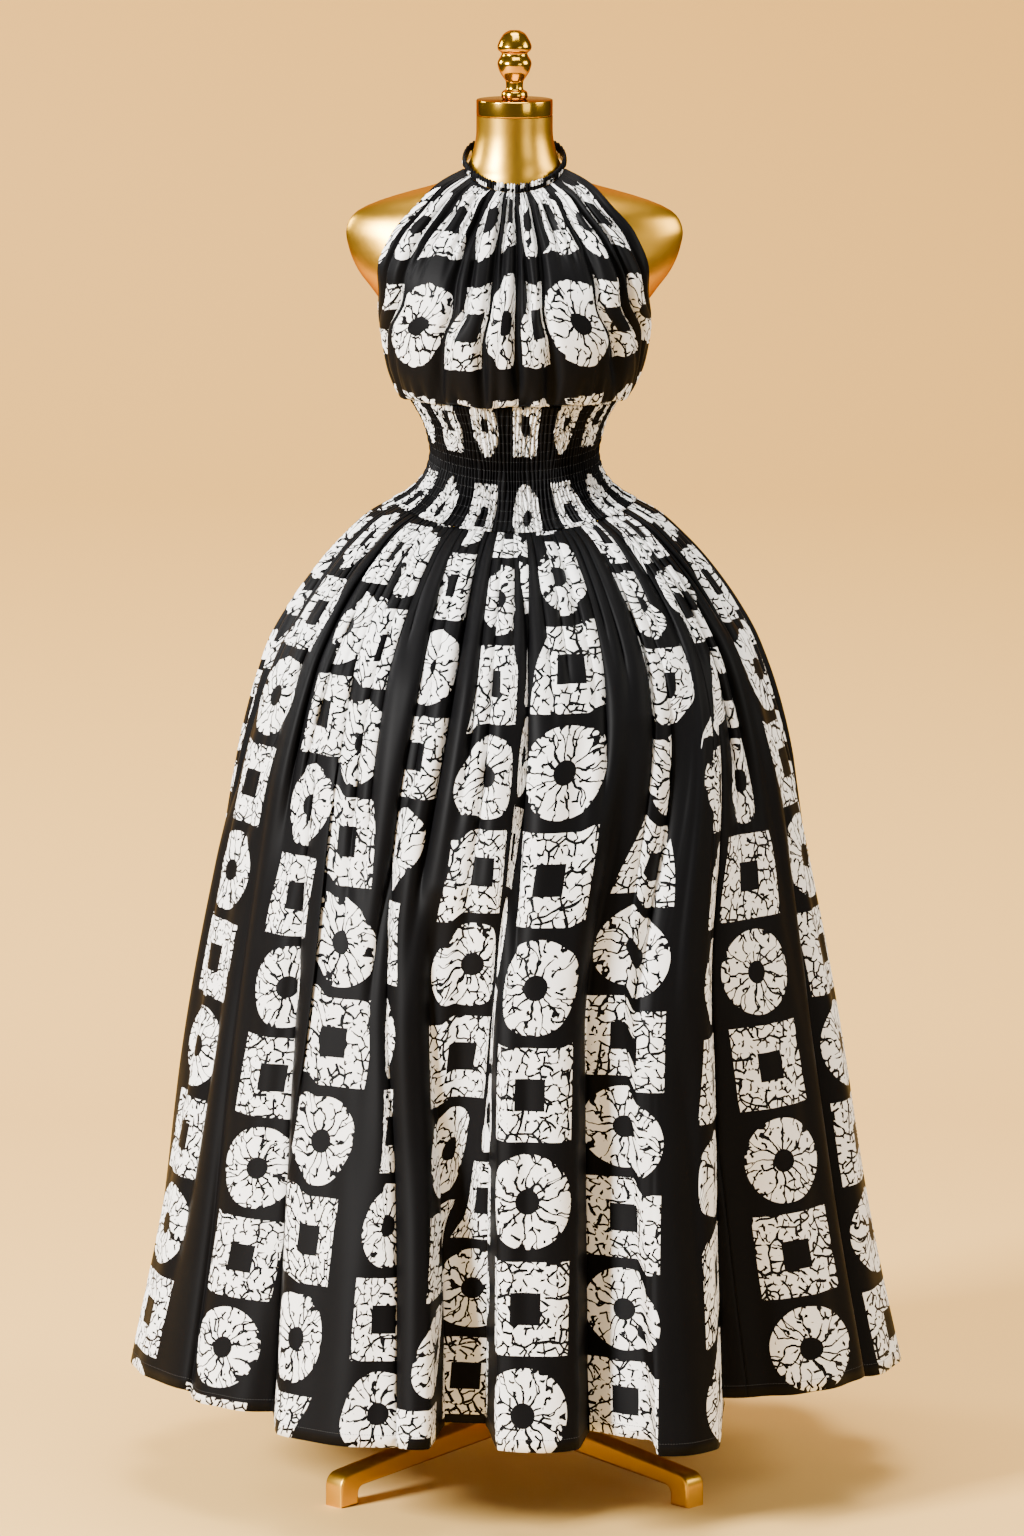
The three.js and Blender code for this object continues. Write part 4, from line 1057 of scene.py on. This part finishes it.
def wax_print(tree):
    """1 where the cloth is white: discs and squares by turns, with cracked wax in them."""
    uv = add(tree, "ShaderNodeUVMap", uv_map="print").outputs["UV"]
    cut = add(tree, "ShaderNodeSeparateXYZ", {0: shaken(tree, uv, 60, 0.0008)}).outputs
    across = Output(tree, cut["X"]) / (PITCH_ACROSS * MM)
    up = (Output(tree, cut["Y"]) - FIRST_ROW * MM) / (PITCH_UP * MM)
    column, row = across.do("ROUND"), up.do("ROUND")
    x, y = (across - column) * (PITCH_ACROSS * MM), (up - row) * (PITCH_UP * MM)
    is_square = (column + row) % 2.0
    middle = add(tree, "ShaderNodeVectorMath", {0: vector_of(tree, x, y)}, operation="LENGTH")
    from_middle = Output(tree, middle.outputs["Value"])
    to_side = x.do("ABSOLUTE").do("MAXIMUM", y.do("ABSOLUTE"))
    disc = (from_middle > DISC_HOLE * MM) * (from_middle < DISC_RADIUS * MM)
    square = (to_side > SQUARE_HOLE * MM) * (to_side < SQUARE_HALF * MM)

    def cloud(scale, detail=1.0):
        return noise(tree, uv, scale, detail)

    # Discs: wandering veins from the hole to the rim, most of them forked, and
    # a few twigs between them.
    around = x.do("ARCTAN2", y) / (TAU / VEINS)
    bent = cloud(110).do("MULTIPLY_ADD", 0.5, cloud(26).do("MULTIPLY_ADD", 2.6, around))
    off_line = (bent.do("FRACT") - 0.5).do("ABSOLUTE")
    fork = ramp(tree, cloud(34, 0.0), 0.35, 0.65, 0.022, 0.056)
    spread = (from_middle - fork).do("MAXIMUM", 0.0) * 11.0
    off_fork = (off_line - spread.do("MINIMUM", 0.3)).do("ABSOLUTE")
    width = sums(tree, "DIVIDE", VEIN * MM * VEINS / TAU / 2, from_middle.do("MAXIMUM", 0.016))
    width = width * ramp(tree, from_middle, 0.047, 0.0515, 1.0, 1.9)
    veins = (off_fork < width) * (cloud(52) > 0.36)
    twigs = cracks(tree, shaken(tree, uv, 60, 0.006), 0.017, 0.085) * (cloud(75) > 0.54)
    disc_lines = veins.do("MAXIMUM", twigs)

    # Squares: short hooked dashes, with a few longer branches among them.
    dashes = cracks(tree, shaken(tree, uv, 70, 0.008), 0.0125, 0.105)
    dashes = dashes * (cloud(105) > ramp(tree, to_side, 0.036, 0.050, 0.485, 0.42))
    branches = cracks(tree, shaken(tree, uv, 40, 0.012), 0.030, 0.05) * (cloud(45) > 0.46)
    square_lines = dashes.do("MAXIMUM", branches)

    motif = blend(tree, is_square, disc, square, "FLOAT")
    lines = blend(tree, is_square, disc_lines, square_lines, "FLOAT")
    return uv, motif * sums(tree, "SUBTRACT", 1.0, lines)


def weave_height(tree, uv):
    """Plain weave, two threads to the millimetre, with slubs."""
    links = {"Vector": uv, "Scale": 160.0, "Distortion": 0.4}
    across, up = [Output(tree, add(tree, "ShaderNodeTexWave", links, bands_direction=axis).outputs[1])
                  for axis in "XY"]
    return (across + up) * 0.5 + noise(tree, uv, 420, 2.0)


def make_wax_print_cotton():
    """Waxed cotton: a matt white, and a black that stays deep, with hardly any gloss."""
    material, tree, shader = new_material("wax_print_cotton")
    uv, white = wax_print(tree)
    cloudy = noise(tree, uv, 14, 3.0)
    black = blend(tree, cloudy, linear("#050506"), linear("#09090A"))
    pale = blend(tree, cloudy, linear("#ECECEB"), linear("#F6F6F4"))
    join(tree, shader, {
        "Base Color": blend(tree, white, black, pale), "Roughness": white.do("MULTIPLY_ADD", 0.16, 0.52),
        "Normal": bump(tree, weave_height(tree, uv), 0.12, 0.0002), "Specular IOR Level": 0.05})
    return material


def make_gold(name, colour, deep, rough, uneven):
    """Gold-coloured metal with faint rubbing in its gloss."""
    material, tree, shader = new_material(name)
    place = add(tree, "ShaderNodeTexCoord").outputs["Object"]
    rubbed = noise(tree, place, 160, 4.0, 0.6)
    join(tree, shader, {
        "Base Color": blend(tree, noise(tree, place, 5, 3.0), linear(deep), linear(colour)),
        "Roughness": ramp(tree, rubbed, 0.0, 1.0, rough - uneven, rough + uneven, "LINEAR"),
        "Normal": bump(tree, rubbed, 0.02, 0.0005), "Metallic": 1.0, "Specular Tint": linear("#7A5A1E")})
    return material


def make_thread():
    """Spun polyester sewing thread, dyed black: dull, with a faint sheen along its twist."""
    material, tree, shader = new_material("spun_polyester_thread")
    twist = add(tree, "ShaderNodeTexNoise", {"Scale": 900.0, "Detail": 1.0}).outputs[0]
    join(tree, shader, {"Base Color": linear("#111112"), "Roughness": 0.6,
                        "Normal": bump(tree, twist, 0.2, 0.0002)})
    return material


# ---- studio ----
SWEEP_NEAR, SWEEP_FAR, SWEEP_HALF, SWEEP_TOP = -3.4, 3.6, 2.8, 5.2  # metres
SWEEP_BEND = 1.6  # radius between the floor and the wall
SHADE_TOP = 0.7  # up to here the floor's colour runs into the wall's
LIGHTS = {
    # name: place, aim, size, watts, colour
    "key": ((-4.7, -3.7, 3.2), (0, 0, 1.0), 1.4, 1600, "#FFFEFC"),
    "fill": ((3.6, -4.8, 2.0), (0, 0, 0.9), 2.2, 60, "#FFFFFF"),
    "overhead": ((0.2, -0.6, 4.4), (0, 0, 1.0), 2.0, 140, "#FFFEFC"),
    "rim_left": ((-3.4, 1.4, 2.6), (0, 0, 1.1), 1.2, 120, "#FFFFFF"),
    "rim_right": ((3.6, -0.4, 2.6), (0, 0, 1.3), 1.8, 130, "#FFFAF0"),
    "wall": ((0, 0.9, 5.6), (0, 3.4, 1.6), 2.4, 250, "#FFF4E6"),
}
CAMERA_PLACE = (-0.0029, -10.0, 2.5)
CAMERA_DOWN = 9.48  # degrees below level
CAMERA_LENS = 204.3


def build_sweep():
    """A cream floor that bends up into a wall."""
    material, tree, shader = new_material("studio_sweep")
    place = add(tree, "ShaderNodeTexCoord").outputs["Object"]
    wall = blend(tree, noise(tree, place, 0.6, 2.0), linear("#B78832"), linear("#BD8F3B"))
    height = add(tree, "ShaderNodeSeparateXYZ", {0: place}).outputs["Z"]
    rising = ramp(tree, height, 0.0, SHADE_TOP, way="LINEAR")
    join(tree, shader, {"Base Color": blend(tree, rising, linear("#E6B868"), wall), "Roughness": 0.6})
    # The wall is clear from behind, so that the back of the dress can be seen.
    behind = add(tree, "ShaderNodeNewGeometry").outputs["Backfacing"]
    clear = add(tree, "ShaderNodeBsdfTransparent").outputs[0]
    shown = mix_shaders(tree, behind, shader.outputs[0], clear)
    join(tree, tree.nodes["Material Output"], {"Surface": shown})
    turn = np.linspace(0, math.pi / 2, 16)
    line = [(SWEEP_NEAR, 0.0)]
    line += [(SWEEP_FAR - SWEEP_BEND * (1 - math.sin(a)), SWEEP_BEND * (1 - math.cos(a))) for a in turn]
    line.append((SWEEP_FAR, SWEEP_TOP))
    points = np.array([[side, y, z] for y, z in line for side in (-SWEEP_HALF, SWEEP_HALF)])
    count = np.arange(len(line) - 1) * 2
    faces = np.stack([count, count + 1, count + 3, count + 2], 1)
    sweep = mesh_piece("studio_sweep", points / MM, faces)
    sweep.data.materials.append(material)


def build_studio():
    """The sweep, the world behind it, large soft lights and the camera."""
    build_sweep()
    world = bpy.data.worlds.new("studio")
    world.use_nodes = True
    tree = world.node_tree
    lighting = tree.nodes["Background"]
    join(tree, lighting, {"Color": linear("#F4F2F0"), "Strength": 0.14})
    backdrop = add(tree, "ShaderNodeBackground", {"Color": linear("#EBD2AA"), "Strength": 1.5}).outputs[0]
    seen = add(tree, "ShaderNodeLightPath").outputs["Is Camera Ray"]
    both = mix_shaders(tree, seen, lighting.outputs[0], backdrop)
    join(tree, tree.nodes["World Output"], {"Surface": both})
    bpy.context.scene.world = world

    for name, (place, aim, size, watts, colour) in LIGHTS.items():
        light = bpy.data.lights.new(name, "AREA")
        light.size, light.energy, light.color = size, watts, linear(colour)[:3]
        lamp = new_object(name, light)
        lamp.location = place
        x, y, z = np.array(aim, float) - np.array(place, float)
        lamp.rotation_euler = (math.acos(-z / math.hypot(x, y, z)), 0, math.atan2(-x, y))

    camera = bpy.data.cameras.new("camera")
    camera.lens, camera.sensor_width = CAMERA_LENS, 36
    camera.clip_end = 100
    viewer = new_object("camera", camera)
    viewer.location = CAMERA_PLACE
    viewer.rotation_euler = (math.radians(90 - CAMERA_DOWN), 0, 0)
    bpy.context.scene.camera = viewer


def main():
    wax = make_wax_print_cotton()
    # The satin spreads its highlights wide, the polish draws them to bright
    # lines, and the stand's plainer gold is a little duller still.
    satin = make_gold("satin_gold", "#DFAC38", "#C79026", 0.32, 0.04)
    brass = make_gold("polished_brass", "#E2B036", "#CC9626", 0.16, 0.03)
    stand = make_gold("stand_gold", "#E8B63C", "#D29A28", 0.34, 0.04)
    skirt = build_skirt(wax)
    band = build_waistband(wax)
    build_stitches(skirt, band, make_thread())
    build_neck_casing(wax, build_bodice(wax))
    build_torso(satin)
    build_head(brass)
    build_stand(stand)
    build_studio()


main()
